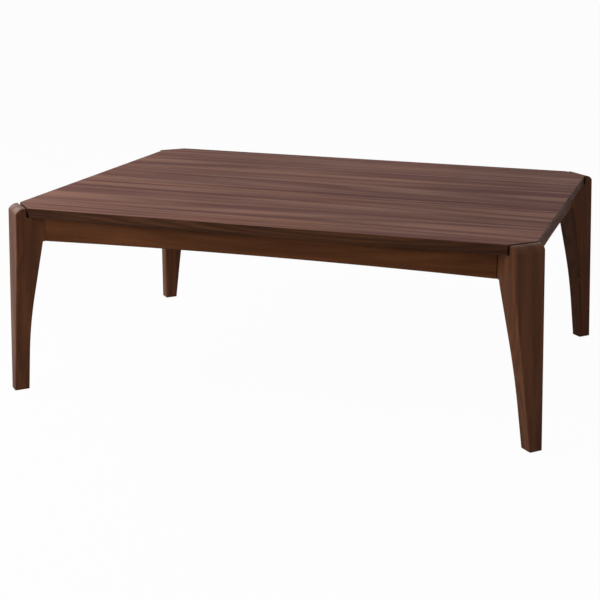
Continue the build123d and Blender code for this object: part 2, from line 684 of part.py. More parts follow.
def inlet_height():
    """The height of the inlet's axis, midway between the guard and the skirt's flange."""
    guard_top = guard_height() + 2 * GUARD_WIRE
    return (SKIRT_TOP_Z - SKIRT_FLANGE + guard_top) / 2


def inlet_box(depth, extra):
    """The inlet's body, or with a margin the opening for it."""
    face = SKIRT_SIZE / 2
    half_y = INLET_WIDTH / 2 + extra
    half_z = INLET_HEIGHT / 2 + extra
    z = inlet_height()
    return block(face - depth, face + INLET_PROUD, INLET_Y - half_y, INLET_Y + half_y,
                 z - half_z, z + half_z)


def inlet_socket():
    """The appliance inlet in the skirt's side, open outwards."""
    body = inlet_box(INLET_DEPTH, 0)
    z = inlet_height()
    bezel_y = INLET_WIDTH / 2 + INLET_MOUTH
    bezel_z = INLET_HEIGHT / 2 + INLET_BEZEL_RISE
    face = SKIRT_SIZE / 2 + INLET_PROUD
    bezel = block(SKIRT_SIZE / 2, face, INLET_Y - bezel_y, INLET_Y + bezel_y, z - bezel_z, z + bezel_z)
    half_y = INLET_WIDTH / 2 - INLET_MOUTH
    half_z = INLET_HEIGHT / 2 - INLET_MOUTH
    mouth = block(inlet_floor(), face + 1, INLET_Y - half_y, INLET_Y + half_y, z - half_z, z + half_z)
    mouth = fillet(mouth.edges().filter_by(Axis.X), INLET_MOUTH_ROUND)
    return body + bezel - mouth


def inlet_floor():
    """The X of the floor of the inlet's mouth, where the pins stand."""
    return SKIRT_SIZE / 2 + INLET_PROUD - INLET_PIN_LENGTH - INLET_FLOOR


def inlet_pins():
    """The two contact pins inside the inlet."""
    root = inlet_floor()
    pins = []
    for side in (-1, 1):
        pin = along_x(INLET_PIN_RADIUS, root, root + INLET_PIN_LENGTH)
        pin = chamfer(pin.edges().sort_by(Axis.X)[-1], INLET_PIN_BEVEL)
        pins.append(Pos(0, INLET_Y + side * INLET_PIN_SPACING / 2, inlet_height()) * pin)
    return pins


def tube_rows():
    """The Y of each heating tube."""
    return [-TUBE_SPACING / 2, TUBE_SPACING / 2]


def quartz_tubes():
    """Two quartz tubes along X."""
    half = TUBE_LENGTH / 2
    tube = along_x(TUBE_RADIUS, -half, half) - along_x(TUBE_RADIUS - TUBE_WALL, -half - 1, half + 1)
    return [Pos(0, y, TUBE_Z) * tube for y in tube_rows()]


def heating_coils():
    """The envelope of the wound wire in each tube, with the leads that go to its holders."""
    half = (TUBE_LENGTH - COIL_SHORTER) / 2
    core = along_x(COIL_RADIUS, -half, half)
    core += along_x(COIL_LEAD_RADIUS, -TUBE_LENGTH / 2, TUBE_LENGTH / 2)
    return [Pos(0, y, TUBE_Z) * core for y in tube_rows()]


def tube_holders():
    """Ceramic blocks under the reflector that carry the ends of the tubes."""
    inner_end = TUBE_LENGTH / 2 - HOLDER_GRIP
    outer_end = inner_end + HOLDER_LENGTH
    half = HOLDER_SIZE / 2
    low = TUBE_Z - TUBE_RADIUS - HOLDER_FLOOR
    body = block(inner_end, outer_end, -half, half, low, REFLECTOR_UNDER)
    body = chamfer(body.edges().filter_by(Axis.Z), HOLDER_BEVEL)
    body -= Pos(0, 0, TUBE_Z) * along_x(TUBE_RADIUS + RUN_CLEARANCE, inner_end - 1, TUBE_LENGTH / 2)
    return [
        Pos(0, y, 0) * Rot(0, 0, turn) * body for y in tube_rows() for turn in (0, 180)
    ]


def guard_height():
    """The height of the middle of the guard's rim wire."""
    return SKIRT_BOTTOM_Z + GUARD_LEDGE_THICKNESS + GUARD_RIM_WIRE


def heater_guard():
    """A welded wire grille that lies on the skirt's ledge."""
    half = SKIRT_SIZE / 2 - SKIRT_WALL - GUARD_RIM_WIRE - GUARD_PLAY
    z = guard_height()
    guard = None
    for turn in (0, 90, 180, 270):
        bar = Rot(0, 0, turn) * Pos(0, half, 0) * along_x(GUARD_RIM_WIRE, -half, half)
        cap = Rot(0, 0, turn) * Pos(half, half, 0) * Sphere(GUARD_RIM_WIRE)
        guard = bar + cap if guard is None else guard + bar + cap
    count = int((2 * half) // GUARD_PITCH)
    start = -(count - 1) * GUARD_PITCH / 2
    wires = []
    for i in range(count):
        wire = Rot(0, 0, 90) * along_x(GUARD_WIRE, -half, half)
        wires.append(Pos(start + i * GUARD_PITCH, 0, 0) * wire)
    for i in range(GUARD_CROSS_WIRES):
        y = half * (2 * (i + 1) / (GUARD_CROSS_WIRES + 1) - 1)
        wires.append(Pos(0, y, GUARD_WIRE) * along_x(GUARD_WIRE, -half, half))
    guard = guard + wires
    return Pos(0, 0, z) * guard


def heater_screws():
    """The four screws that hold the heater to the long rails."""
    body = screw(HEATER_SCREW_LENGTH, SCREW_RADIUS, SCREW_HEAD_RADIUS, SCREW_HEAD_HEIGHT)
    return [place * body for place in heater_screw_places()]


def terminal_rows():
    """Where the three clamps of the terminal block stand."""
    x, y = TERMINAL_AT
    return [(x, y + step * TERMINAL_LENGTH / 3) for step in (-1, 0, 1)]


def terminal_block():
    """A screw terminal block on the reflector's back."""
    x, y = TERMINAL_AT
    half_x = TERMINAL_WIDTH / 2
    half_y = TERMINAL_LENGTH / 2
    top = REFLECTOR_TOP + TERMINAL_HEIGHT
    body = block(x - half_x, x + half_x, y - half_y, y + half_y, REFLECTOR_TOP, top)
    body = chamfer(body.faces().sort_by(Axis.Z)[-1].edges(), TERMINAL_BEVEL)
    for well_x, well_y in terminal_rows():
        body -= Pos(well_x, well_y, 0) * upright(TERMINAL_WELL_RADIUS, top - TERMINAL_WELL_DEPTH, top + 1)
    return body


def terminal_screws():
    """Three brass clamp screws sunk in the terminal block."""
    seat = REFLECTOR_TOP + TERMINAL_HEIGHT - TERMINAL_WELL_DEPTH
    slot_half = TERMINAL_SLOT[0] / 2
    slot_floor = TERMINAL_SCREW_HEIGHT - TERMINAL_SLOT[1]
    head = upright(TERMINAL_SCREW_RADIUS, 0, TERMINAL_SCREW_HEIGHT)
    head -= block(-TERMINAL_WELL_RADIUS, TERMINAL_WELL_RADIUS, -slot_half, slot_half,
                  slot_floor, TERMINAL_SCREW_HEIGHT + 1)
    return [Pos(x, y, seat) * head for x, y in terminal_rows()]


def thermostat():
    """A disc thermostat with a mounting flange and two tags."""
    body = upright(THERMOSTAT_RADIUS, 0, THERMOSTAT_HEIGHT)
    foot_x, foot_y, foot_z = THERMOSTAT_FOOT
    body += block(-foot_x, foot_x, -foot_y, foot_y, 0, foot_z)
    tag_x, tag_y, tag_z = THERMOSTAT_TAG
    for side in (-1, 1):
        x = side * THERMOSTAT_TAG_X
        body += block(x - tag_x, x + tag_x, -tag_y, tag_y, foot_z, THERMOSTAT_HEIGHT + tag_z)
    return Pos(THERMOSTAT_AT[0], THERMOSTAT_AT[1], REFLECTOR_TOP) * body


def thermal_fuse():
    """A thermal cut-out lying on the reflector's back."""
    body = along_x(FUSE_RADIUS, -FUSE_LENGTH / 2, FUSE_LENGTH / 2)
    body = chamfer(body.edges().filter_by(GeomType.CIRCLE), FUSE_BEVEL)
    return Pos(FUSE_AT[0], FUSE_AT[1], REFLECTOR_TOP + FUSE_RADIUS) * body


def lead_holes():
    """Where leads pass down through the reflector, beside the tube holders."""
    x = TUBE_LENGTH / 2 - HOLDER_GRIP + HOLDER_LENGTH / 2
    return [(side * x, row) for side in (-1, 1) for row in tube_rows()]


def lead(*points):
    """A wire along straight runs with rounded turns."""
    path = FilletPolyline(*points, radius=LEAD_BEND) if len(points) > 2 else Line(*points)
    start = Plane(origin=path @ 0, z_dir=path % 0)
    return sweep(start * Circle(LEAD_RADIUS), path=path)


def internal_leads():
    """The wires in the wiring space, from the terminals to the tubes, cut-out and thermostat."""
    z = REFLECTOR_TOP + LEAD_RADIUS + LEAD_RISE
    tx, ty = TERMINAL_AT
    fx, fy = FUSE_AT
    x, row = lead_holes()[2][0], TUBE_SPACING / 2
    edge = TERMINAL_LENGTH / 3
    block_right = tx + TERMINAL_WIDTH / 2
    block_left = tx - TERMINAL_WIDTH / 2
    fuse_z = REFLECTOR_TOP + FUSE_RADIUS
    inner = x - HOLDER_LENGTH
    return [
        lead((block_right, ty - edge, z), (inner, ty - edge, z), (inner, -row, z), (x, -row, z)),
        lead((block_right, ty + edge, z), (inner, ty + edge, z), (inner, row, z), (x, row, z)),
        lead((block_left, ty + edge, z), (fx + LEAD_FUSE_RUN, ty + edge, z), (-inner, row, z),
             (-x, row, z)),
        lead((fx - FUSE_LENGTH / 2, fy, fuse_z), (-inner, fy, fuse_z), (-inner, -row, fuse_z),
             (-x, -row, fuse_z)),
    ]


# ---- everything -----------------------------------------------------------------------------
os.makedirs("parts", exist_ok=True)
build_tabletop()
for corner_name, leg_solid in handed(build_leg()).items():
    write(f"{corner_name}_leg", leg_solid)
build_aprons()
build_rails()
write("corner_plates", *at_corners([corner_plate()]))
write("hanger_bolts", *at_corners(hanger_bolts()))
write("bolt_washers", *at_corners(bolt_washers()))
write("bolt_nuts", *at_corners(bolt_nuts()))
write("corner_plate_screws", *at_corners(flange_screws()))
write("foot_glides", *handed(build_glide()).values())
write("rail_brackets", *[place * rail_bracket() for place in bracket_places()])
write("rail_bracket_screws", *[p * s for p in bracket_places() for s in bracket_screws()])
write("cross_rail_screws", *[place * cross_screw() for place in cross_screw_places()])
write("heater_housing", heater_housing())
write("heater_reflector", heater_reflector())
write("heater_skirt", heater_skirt())
write("heater_guard", heater_guard())
write("quartz_tubes", *quartz_tubes())
write("heating_coils", *heating_coils())
write("tube_holders", *tube_holders())
write("inlet_socket", inlet_socket())
write("inlet_pins", *inlet_pins())
write("terminal_block", terminal_block())
write("terminal_screws", *terminal_screws())
write("thermostat", thermostat())
write("thermal_fuse", thermal_fuse())
write("internal_leads", *internal_leads())
write("heater_screws", *heater_screws())
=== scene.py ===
"""A low heated table (kotatsu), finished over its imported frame.

The frame gives the table's solids. This file gives each of them its finish, models the small
pieces that the frame leaves plain (wound heating coils, cross-slotted screws), and sets out the
floor, the lamps and the camera. Lengths are metres in the frame's own axes: the origin is on the
floor under the middle of the table, +X runs along its length and -Y is its front.
"""

import logging
import math
from collections.abc import Callable
from dataclasses import dataclass
from enum import Enum

import bpy
from mathutils import Euler, Matrix, Vector


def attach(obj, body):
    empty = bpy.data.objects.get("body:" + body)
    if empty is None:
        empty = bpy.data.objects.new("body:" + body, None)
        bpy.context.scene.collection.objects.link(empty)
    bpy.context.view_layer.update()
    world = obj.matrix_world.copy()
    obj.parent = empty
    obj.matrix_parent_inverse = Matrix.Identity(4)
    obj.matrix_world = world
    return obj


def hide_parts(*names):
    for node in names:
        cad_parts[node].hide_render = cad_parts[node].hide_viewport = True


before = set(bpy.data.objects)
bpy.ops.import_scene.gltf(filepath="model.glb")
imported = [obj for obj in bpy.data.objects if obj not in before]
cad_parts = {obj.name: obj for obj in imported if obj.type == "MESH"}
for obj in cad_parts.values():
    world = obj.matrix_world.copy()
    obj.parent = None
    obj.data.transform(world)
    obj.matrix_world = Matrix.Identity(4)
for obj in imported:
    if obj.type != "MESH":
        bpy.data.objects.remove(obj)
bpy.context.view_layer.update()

LOG = logging.getLogger("kotatsu_table")
MM = 0.001
ROOT2 = math.sqrt(2.0)
SMOOTH_ANGLE = math.radians(35.0)
FACING = 0.99                 # cosine past which a face looks in a direction
RIM_SHARE = 0.8               # of a solid's widest reach, past which a corner is on its rim
WELD = 1e-6                   # metres within which two corners are one
WELD_DECIMALS = 6

Colour = tuple[float, float, float]
Place = tuple[float, float, float]
Range = tuple[float, float]
Socket = bpy.types.NodeSocket
Value = float | Colour | Socket

WHITE: Colour = (1.0, 1.0, 1.0)
MIDDLE: Range = (0.3, 0.7)    # where most of a noise's values lie


# ---- node helpers ---------------------------------------------------------------------------
def linear(level: int) -> float:
    """Return one channel of a screen colour, 0 to 255, without its screen curve."""
    share = level / 255.0
    return share / 12.92 if share <= 0.04045 else ((share + 0.055) / 1.055) ** 2.4


def paint(red: int, green: int, blue: int) -> Colour:
    """Turn a screen colour into the linear colour that a shader takes."""
    return (linear(red), linear(green), linear(blue))


def rgba(colour: Colour) -> tuple[float, float, float, float]:
    """Return a colour with full opacity."""
    return (*colour, 1.0)


class Graph:
    """Short calls that make and join the nodes of one node tree."""

    def __init__(self, tree: bpy.types.NodeTree) -> None:
        """Keep the tree that nodes are made in.

        Args:
            tree: The node tree.
        """
        self.tree = tree

    def node(self, kind: str, inputs: dict[str | int, Value], **settings: object) -> bpy.types.Node:
        """Make a node, set it up and feed its inputs.

        Args:
            kind: Blender's name for the node's type.
            inputs: A number, colour or other node's output for each input that is set.
            settings: The node's own properties.

        Returns:
            The node.
        """
        made = self.tree.nodes.new(kind)
        for key, setting in settings.items():
            setattr(made, key, setting)
        for key, value in inputs.items():
            socket = made.inputs[key]
            if isinstance(value, Socket):
                self.tree.links.new(value, socket)
            elif isinstance(value, tuple) and socket.type == "RGBA":
                socket.default_value = rgba(value)
            else:
                socket.default_value = value
        return made

    def noise(self, vector: Value, scale: Value, detail: float = 2.0, rough: float = 0.5) -> bpy.types.Node:
        """Make a noise texture, whose first output is a grey value and second a colour."""
        feeds = {"Vector": vector, "Scale": scale, "Detail": detail, "Roughness": rough}
        return self.node("ShaderNodeTexNoise", feeds)

    def maths(self, operation: str, first: Value, second: Value = 0.0, third: Value = 0.0) -> Socket:
        """Return the result of a math node."""
        feeds = {0: first, 1: second, 2: third}
        return self.node("ShaderNodeMath", feeds, operation=operation).outputs[0]

    def vector_maths(self, operation: str, first: Value, second: Value = (0.0, 0.0, 0.0)) -> Socket:
        """Return the result of a vector math node, a number for a dot product or a distance."""
        made = self.node("ShaderNodeVectorMath", {0: first, 1: second}, operation=operation)
        return made.outputs["Value" if operation in ("DOT_PRODUCT", "DISTANCE") else "Vector"]

    def scale(self, vector: Value, factor: Value) -> Socket:
        """Return a vector times a number."""
        feeds = {0: vector, "Scale": factor}
        return self.node("ShaderNodeVectorMath", feeds, operation="SCALE").outputs["Vector"]

    def spread(
        self, value: Value, low: float, high: float, to_low: float = 0.0, to_high: float = 1.0
    ) -> Socket:
        """Stretch a range of values over another, clamped and smooth at both ends."""
        feeds = {"Value": value, "From Min": low, "From Max": high, "To Min": to_low, "To Max": to_high}
        return self.node("ShaderNodeMapRange", feeds, interpolation_type="SMOOTHSTEP").outputs["Result"]

    def blend(self, factor: Value, first: Value, second: Value, mode: str = "MIX") -> Socket:
        """Blend two colours.

        Args:
            factor: Share of the second.
            first: First colour.
            second: Second colour.
            mode: Blender's name for the way they are blended.

        Returns:
            The blended colour's socket.
        """
        made = self.node("ShaderNodeMix", {}, data_type="RGBA", blend_type=mode)
        for index, value in ((0, factor), (6, first), (7, second)):
            if isinstance(value, Socket):
                self.tree.links.new(value, made.inputs[index])
            else:
                made.inputs[index].default_value = rgba(value) if isinstance(value, tuple) else value
        return made.outputs[2]

    def cover(self, colour: Value, mask: Value, share: float, over: Colour) -> Socket:
        """Lay a share of one colour over another where a mask is 1."""
        return self.blend(self.maths("MULTIPLY", mask, share), colour, over)

    def grey(self, level: Value) -> Socket:
        """Return the grey that has a level in all three channels."""
        feeds = {0: level, 1: level, 2: level}
        return self.node("ShaderNodeCombineColor", feeds).outputs[0]

    def ramp(self, value: Value, stops: list[tuple[float, Colour]]) -> Socket:
        """Turn a value into a colour along a list of stops.

        Args:
            value: The value.
            stops: Place and colour of each stop, from low to high.

        Returns:
            The colour's socket.
        """
        made = self.node("ShaderNodeValToRGB", {0: value})
        elements = made.color_ramp.elements
        while len(elements) < len(stops):
            elements.new(0.5)
        for element, (place, colour) in zip(elements, stops):
            element.position = place
            element.color = rgba(colour)
        return made.outputs[0]

    def bump(self, height: Value, strength: float, distance: float) -> Socket:
        """Return a normal raised by a height, whose full step is a distance in metres."""
        feeds = {"Height": height, "Strength": strength, "Distance": distance}
        return self.node("ShaderNodeBump", feeds).outputs[0]


class SharedEffect:
    """An effect that several finishes use, kept as one shader node group."""

    name: str
    takes: dict[str, float]
    gives: tuple[str, ...]

    def tree(self) -> bpy.types.NodeTree:
        """Return the group's tree, built the first time it is asked for."""
        found = bpy.data.node_groups.get(self.name)
        if found is not None:
            return found
        made = bpy.data.node_groups.new(self.name, "ShaderNodeTree")
        made.interface.new_socket(name="Vector", in_out="INPUT", socket_type="NodeSocketVector")
        for label, default in self.takes.items():
            socket = made.interface.new_socket(name=label, in_out="INPUT", socket_type="NodeSocketFloat")
            socket.default_value = default
        for label in self.gives:
            made.interface.new_socket(name=label, in_out="OUTPUT", socket_type="NodeSocketFloat")
        entry = made.nodes.new("NodeGroupInput")
        leave = made.nodes.new("NodeGroupOutput")
        self.fill(Graph(made), entry, leave)
        return made

    def fill(self, graph: Graph, entry: bpy.types.Node, leave: bpy.types.Node) -> None:
        """Make the group's nodes, from its input node to its output node."""
        raise NotImplementedError

    def use(self, graph: Graph, vector: Value, **values: float) -> bpy.types.Node:
        """Place the group in a material's graph, read at a vector, and set its other inputs."""
        return graph.node("ShaderNodeGroup", {"Vector": vector, **values}, node_tree=self.tree())


class WoodGrain(SharedEffect):
    """Bands, growth rings, streaks and pores of sawn wood, with the grain along X."""

    name = "wood_grain"
    takes = {"Bands": 30.0, "Lines": 260.0, "Wander": 0.012, "Stretch": 16.0}
    gives = ("Tone", "Dark Streaks", "Pale Streaks", "Pores", "Drift")
    rings = 24.0                          # over the whole range of the figure
    late_wood = (0.0, 0.22, 0.28, 0.0)    # the dark line that ends a ring
    sway_scale = 7.0
    pore_scale = 1500.0
    drift_scale = 2.2
    figure_scale = 0.35                   # this and the next two times the bands' scale
    dark_scale = 1.7
    pale_scale = 3.0
    line_squeeze = (0.3, 1.0, 1.0)
    pale_squeeze = (0.7, 1.0, 1.0)
    pore_squeeze = (0.9, 1.0, 1.0)
    dark_shift = (3.1, 7.7, 1.3)
    pale_shift = (9.4, 2.2, 5.9)
    band_weight = 0.60
    line_weight = 0.24
    ring_weight = 0.16
    dark_range = (0.56, 0.74)
    pale_range = (0.60, 0.76)
    pore_range = (0.58, 0.72)

    def fill(self, graph: Graph, entry: bpy.types.Node, leave: bpy.types.Node) -> None:
        """Make the group's nodes.

        Args:
            graph: The group's graph.
            entry: Its input node.
            leave: Its output node.
        """
        point = entry.outputs["Vector"]
        width = entry.outputs["Bands"]
        along = graph.maths("DIVIDE", 1.0, entry.outputs["Stretch"])
        squeeze = graph.node("ShaderNodeCombineXYZ", {0: along, 1: 1.0, 2: 1.0}).outputs[0]
        drawn = graph.vector_maths("MULTIPLY", point, squeeze)
        sway = graph.noise(drawn, self.sway_scale).outputs[1]
        centred = graph.vector_maths("SUBTRACT", sway, (0.5, 0.5, 0.5))
        read = graph.vector_maths("ADD", drawn, graph.scale(centred, entry.outputs["Wander"]))

        bands = graph.noise(read, width, detail=3.0, rough=0.55).outputs[0]
        fine = graph.vector_maths("MULTIPLY", read, self.line_squeeze)
        lines = graph.noise(fine, entry.outputs["Lines"], rough=0.6).outputs[0]
        broad = graph.maths("MULTIPLY", width, self.figure_scale)
        figure = graph.noise(read, broad, detail=1.0, rough=0.4).outputs[0]
        rings = graph.maths("PINGPONG", graph.maths("MULTIPLY", figure, self.rings), 1.0)
        tone = graph.maths("MULTIPLY", bands, self.band_weight)
        tone = graph.maths("MULTIPLY_ADD", lines, self.line_weight, tone)
        tone = graph.maths("MULTIPLY_ADD", rings, self.ring_weight, tone)

        shifted = graph.vector_maths("ADD", read, self.dark_shift)
        dark = graph.noise(shifted, graph.maths("MULTIPLY", width, self.dark_scale)).outputs[0]
        dark = graph.spread(dark, *self.dark_range)
        long = graph.vector_maths("MULTIPLY", read, self.pale_squeeze)
        again = graph.vector_maths("ADD", long, self.pale_shift)
        narrow = graph.maths("MULTIPLY", width, self.pale_scale)
        pale = graph.noise(again, narrow, detail=1.0).outputs[0]
        short = graph.vector_maths("MULTIPLY", read, self.pore_squeeze)
        pits = graph.noise(short, self.pore_scale, detail=1.0).outputs[0]
        results = {
            "Tone": tone,
            "Dark Streaks": graph.maths("MAXIMUM", dark, graph.spread(rings, *self.late_wood)),
            "Pale Streaks": graph.spread(pale, *self.pale_range),
            "Pores": graph.spread(pits, *self.pore_range),
            "Drift": graph.noise(point, self.drift_scale, detail=1.0).outputs[0],
        }
        for label, result in results.items():
            graph.tree.links.new(result, leave.inputs[label])


class EdgeWear(SharedEffect):
    """Where edges are rubbed, broken up by a fine noise."""

    name = "edge_wear"
    takes = {"Width": 1.5 * MM, "Patches": 60.0}
    gives = ("Wear",)
    bend_range = (0.01, 0.16)
    patch_range = (0.38, 0.62, 0.25, 1.0)

    def fill(self, graph: Graph, entry: bpy.types.Node, leave: bpy.types.Node) -> None:
        """Make the group's nodes.

        Args:
            graph: The group's graph.
            entry: Its input node.
            leave: Its output node.
        """
        rounded = graph.node("ShaderNodeBevel", {"Radius": entry.outputs["Width"]}, samples=4).outputs[0]
        flat = graph.node("ShaderNodeNewGeometry", {}).outputs["Normal"]
        same = graph.vector_maths("DOT_PRODUCT", rounded, flat)
        edge = graph.spread(graph.maths("SUBTRACT", 1.0, same), *self.bend_range)
        patches = graph.noise(entry.outputs["Vector"], entry.outputs["Patches"], detail=4.0, rough=0.6)
        broken = graph.spread(patches.outputs[0], *self.patch_range)
        graph.tree.links.new(graph.maths("MULTIPLY", edge, broken), leave.inputs["Wear"])


class Handling(SharedEffect):
    """Dust, finger marks and fine scuffs over any smooth finish."""

    name = "handling"
    takes = {"Marks": 24.0, "Scuffs": 320.0}
    gives = ("Marks", "Scuffs")
    scuff_squeeze = (0.12, 1.0, 0.6)
    scuff_range = (0.35, 0.75)

    def fill(self, graph: Graph, entry: bpy.types.Node, leave: bpy.types.Node) -> None:
        """Make the group's nodes.

        Args:
            graph: The group's graph.
            entry: Its input node.
            leave: Its output node.
        """
        point = entry.outputs["Vector"]
        cloud = graph.noise(point, entry.outputs["Marks"], detail=5.0, rough=0.62).outputs[0]
        drawn = graph.vector_maths("MULTIPLY", point, self.scuff_squeeze)
        scuff = graph.noise(drawn, entry.outputs["Scuffs"], detail=3.0, rough=0.7).outputs[0]
        graph.tree.links.new(graph.spread(cloud, *MIDDLE), leave.inputs["Marks"])
        graph.tree.links.new(graph.spread(scuff, *self.scuff_range), leave.inputs["Scuffs"])


WOOD_GRAIN = WoodGrain()
EDGE_WEAR = EdgeWear()
HANDLING = Handling()


# ---- finishes -------------------------------------------------------------------------------
class Run(Enum):
    """Which way the grain of a board runs."""

    LENGTHWISE = (1.0, 0.0, 0.0)
    CROSSWISE = (0.0, 1.0, 0.0)
    UPRIGHT = (0.0, 0.0, 1.0)
    CORNERWISE = (1.0, -1.0, 0.0)


def empty_graph(holder: bpy.types.Material | bpy.types.World) -> Graph:
    """Return the cleared graph of a material or a world."""
    holder.use_nodes = True
    holder.node_tree.nodes.clear()
    return Graph(holder.node_tree)


def start_material(name: str) -> tuple[bpy.types.Material, Graph, bpy.types.Node]:
    """Start a material that holds only a principled shader and its output.

    Args:
        name: The material's name.

    Returns:
        The material, its graph and the shader.
    """
    material = bpy.data.materials.new(name)
    graph = empty_graph(material)
    shader = graph.node("ShaderNodeBsdfPrincipled", {})
    graph.node("ShaderNodeOutputMaterial", {"Surface": shader.outputs[0]})
    return material, graph, shader


def object_point(graph: Graph) -> Socket:
    """Return the socket that gives a point's place on its object."""
    return graph.node("ShaderNodeTexCoord", {}).outputs["Object"]


def feed(graph: Graph, shader: bpy.types.Node, colour: Socket, rough: Socket, normal: Socket) -> None:
    """Join a principled shader to its colour, roughness and normal."""
    for label, value in (("Base Color", colour), ("Roughness", rough), ("Normal", normal)):
        graph.tree.links.new(value, shader.inputs[label])


@dataclass(frozen=True)
class WoodFinish:
    """A stained and lacquered wood. The values without a type hint are the same for every wood."""

    name: str
    shades: tuple[Colour, Colour, Colour, Colour]
    streak: Colour
    flare: Colour
    streak_share: float = 0.6
    flare_share: float = 0.4
    bands: float = 30.0
    lines: float = 260.0
    wander: float = 0.012
    stretch: float = 16.0
    roughness: Range = (0.40, 0.52)
    specular: float = 0.3
    relief: float = 0.12
    wear: float = 0.2
    contrast = (0.36, 0.66)
    shade_stops = (0.0, 0.34, 0.68, 1.0)
    drift_range = (*MIDDLE, 0.86, 1.12)
    pore_share = 0.35
    pore_roughness = 0.12
    pore_rise = -0.7
    marks = 9.0
    scuffs = 180.0
    mark_roughness = 0.05
    wear_width = 1.2 * MM
    wear_patches = 45.0
    step_height = 0.3 * MM
    knot_bend = (2.0 * MM, 22.0 * MM, 1.0, 0.0)
    knot_heart = (2.0 * MM, 7.0 * MM, 1.0, 0.0)
    knot_share = 0.8

    def lay(self, graph: Graph, point: Socket, run: Vector, offset: Place) -> Socket:
        """Turn and shift a point, so that the grain runs along X.

        Args:
            graph: The material's graph.
            point: The point.
            run: The direction of the grain.
            offset: Where in the pattern the piece is cut from.

        Returns:
            The laid point's socket.
        """
        laid = graph.node("ShaderNodeMapping", {"Vector": point}, vector_type="POINT")
        turn = run.normalized().rotation_difference(Vector(Run.LENGTHWISE.value))
        laid.inputs["Rotation"].default_value = turn.to_euler("XYZ")
        laid.inputs["Location"].default_value = offset
        return laid.outputs[0]

    def stain(self, graph: Graph, grain: bpy.types.Node, tone: Socket, point: Socket) -> Socket:
        """Mix the wood's colour from its grain.

        Args:
            graph: The material's graph.
            grain: The grain's node.
            tone: How light the wood is.
            point: Where it is read.

        Returns:
            The colour's socket.
        """
        colour = graph.ramp(tone, list(zip(self.shade_stops, self.shades)))
        colour = graph.cover(colour, grain.outputs["Dark Streaks"], self.streak_share, self.streak)
        colour = graph.cover(colour, grain.outputs["Pale Streaks"], self.flare_share, self.flare)
        drift = graph.spread(grain.outputs["Drift"], *self.drift_range)
        colour = graph.blend(1.0, colour, graph.grey(drift), "MULTIPLY")
        colour = graph.cover(colour, grain.outputs["Pores"], self.pore_share, self.streak)
        if self.wear > 0.0:
            rubbed = EDGE_WEAR.use(graph, point, Width=self.wear_width, Patches=self.wear_patches)
            colour = graph.cover(colour, rubbed.outputs["Wear"], self.wear, self.flare)
        return colour

    def material(
        self, piece: str, run: Vector, offset: Place = (0.0, 0.0, 0.0), mirrored: bool = False,
        knot: Place | None = None,
    ) -> bpy.types.Material:
        """Build the finish for one piece.

        Args:
            piece: The piece it is for.
            run: The direction of the grain.
            offset: Where in the pattern the piece is cut from.
            mirrored: Read every corner of the table as if it were the back right one.
            knot: Where a knot shows, if one does.

        Returns:
            The material.
        """
        material, graph, shader = start_material(f"{self.name}_{piece}")
        point = object_point(graph)
        if mirrored:
            point = graph.vector_maths("ABSOLUTE", point)
        read = self.lay(graph, point, run, offset)
        if knot is not None:
            away = graph.vector_maths("DISTANCE", point, knot)
            push = graph.vector_maths("SUBTRACT", point, knot)
            bend = graph.scale(push, graph.spread(away, *self.knot_bend))
            read = graph.vector_maths("SUBTRACT", read, bend)
        grain = WOOD_GRAIN.use(
            graph, read, Bands=self.bands, Lines=self.lines, Wander=self.wander, Stretch=self.stretch
        )
        tone = graph.spread(grain.outputs["Tone"], *self.contrast)
        colour = self.stain(graph, grain, tone, point)
        if knot is not None:
            heart = graph.spread(away, *self.knot_heart)
            colour = graph.cover(colour, heart, self.knot_share, self.streak)
        handled = HANDLING.use(graph, point, Marks=self.marks, Scuffs=self.scuffs)
        pores = grain.outputs["Pores"]
        rough = graph.spread(tone, 0.0, 1.0, *reversed(self.roughness))
        rough = graph.maths("MULTIPLY_ADD", handled.outputs["Marks"], self.mark_roughness, rough)
        rough = graph.maths("MULTIPLY_ADD", pores, self.pore_roughness, rough)
        height = graph.maths("MULTIPLY_ADD", pores, self.pore_rise, tone)
        feed(graph, shader, colour, rough, graph.bump(height, self.relief, self.step_height))
        shader.inputs["Specular IOR Level"].default_value = self.specular
        return material


@dataclass(frozen=True)
class MetalFinish:
    """Rolled, plated or painted metal."""

    name: str
    colour: Colour
    tint: Colour
    metallic: float = 1.0
    roughness: Range = (0.28, 0.46)
    marks: float = 40.0
    scuffs: float = 500.0
    bare: Colour = (0.55, 0.54, 0.52)
    wear: float = 0.3
    relief: float = 0.08
    mark_roughness = 0.08
    wear_width = 0.6 * MM
    wear_patches = 160.0
    step_height = 0.2 * MM

    def material(self) -> bpy.types.Material:
        """Build the finish."""
        material, graph, shader = start_material(self.name)
        point = object_point(graph)
        handled = HANDLING.use(graph, point, Marks=self.marks, Scuffs=self.scuffs)
        marks, scuffs = handled.outputs["Marks"], handled.outputs["Scuffs"]
        rubbed = EDGE_WEAR.use(graph, point, Width=self.wear_width, Patches=self.wear_patches)
        colour = graph.blend(marks, self.colour, self.tint)
        colour = graph.cover(colour, rubbed.outputs["Wear"], self.wear, self.bare)
        rough = graph.spread(scuffs, 0.0, 1.0, *self.roughness)
        rough = graph.maths("MULTIPLY_ADD", marks, self.mark_roughness, rough)
        feed(graph, shader, colour, rough, graph.bump(scuffs, self.relief, self.step_height))
        shader.inputs["Metallic"].default_value = self.metallic
        return material


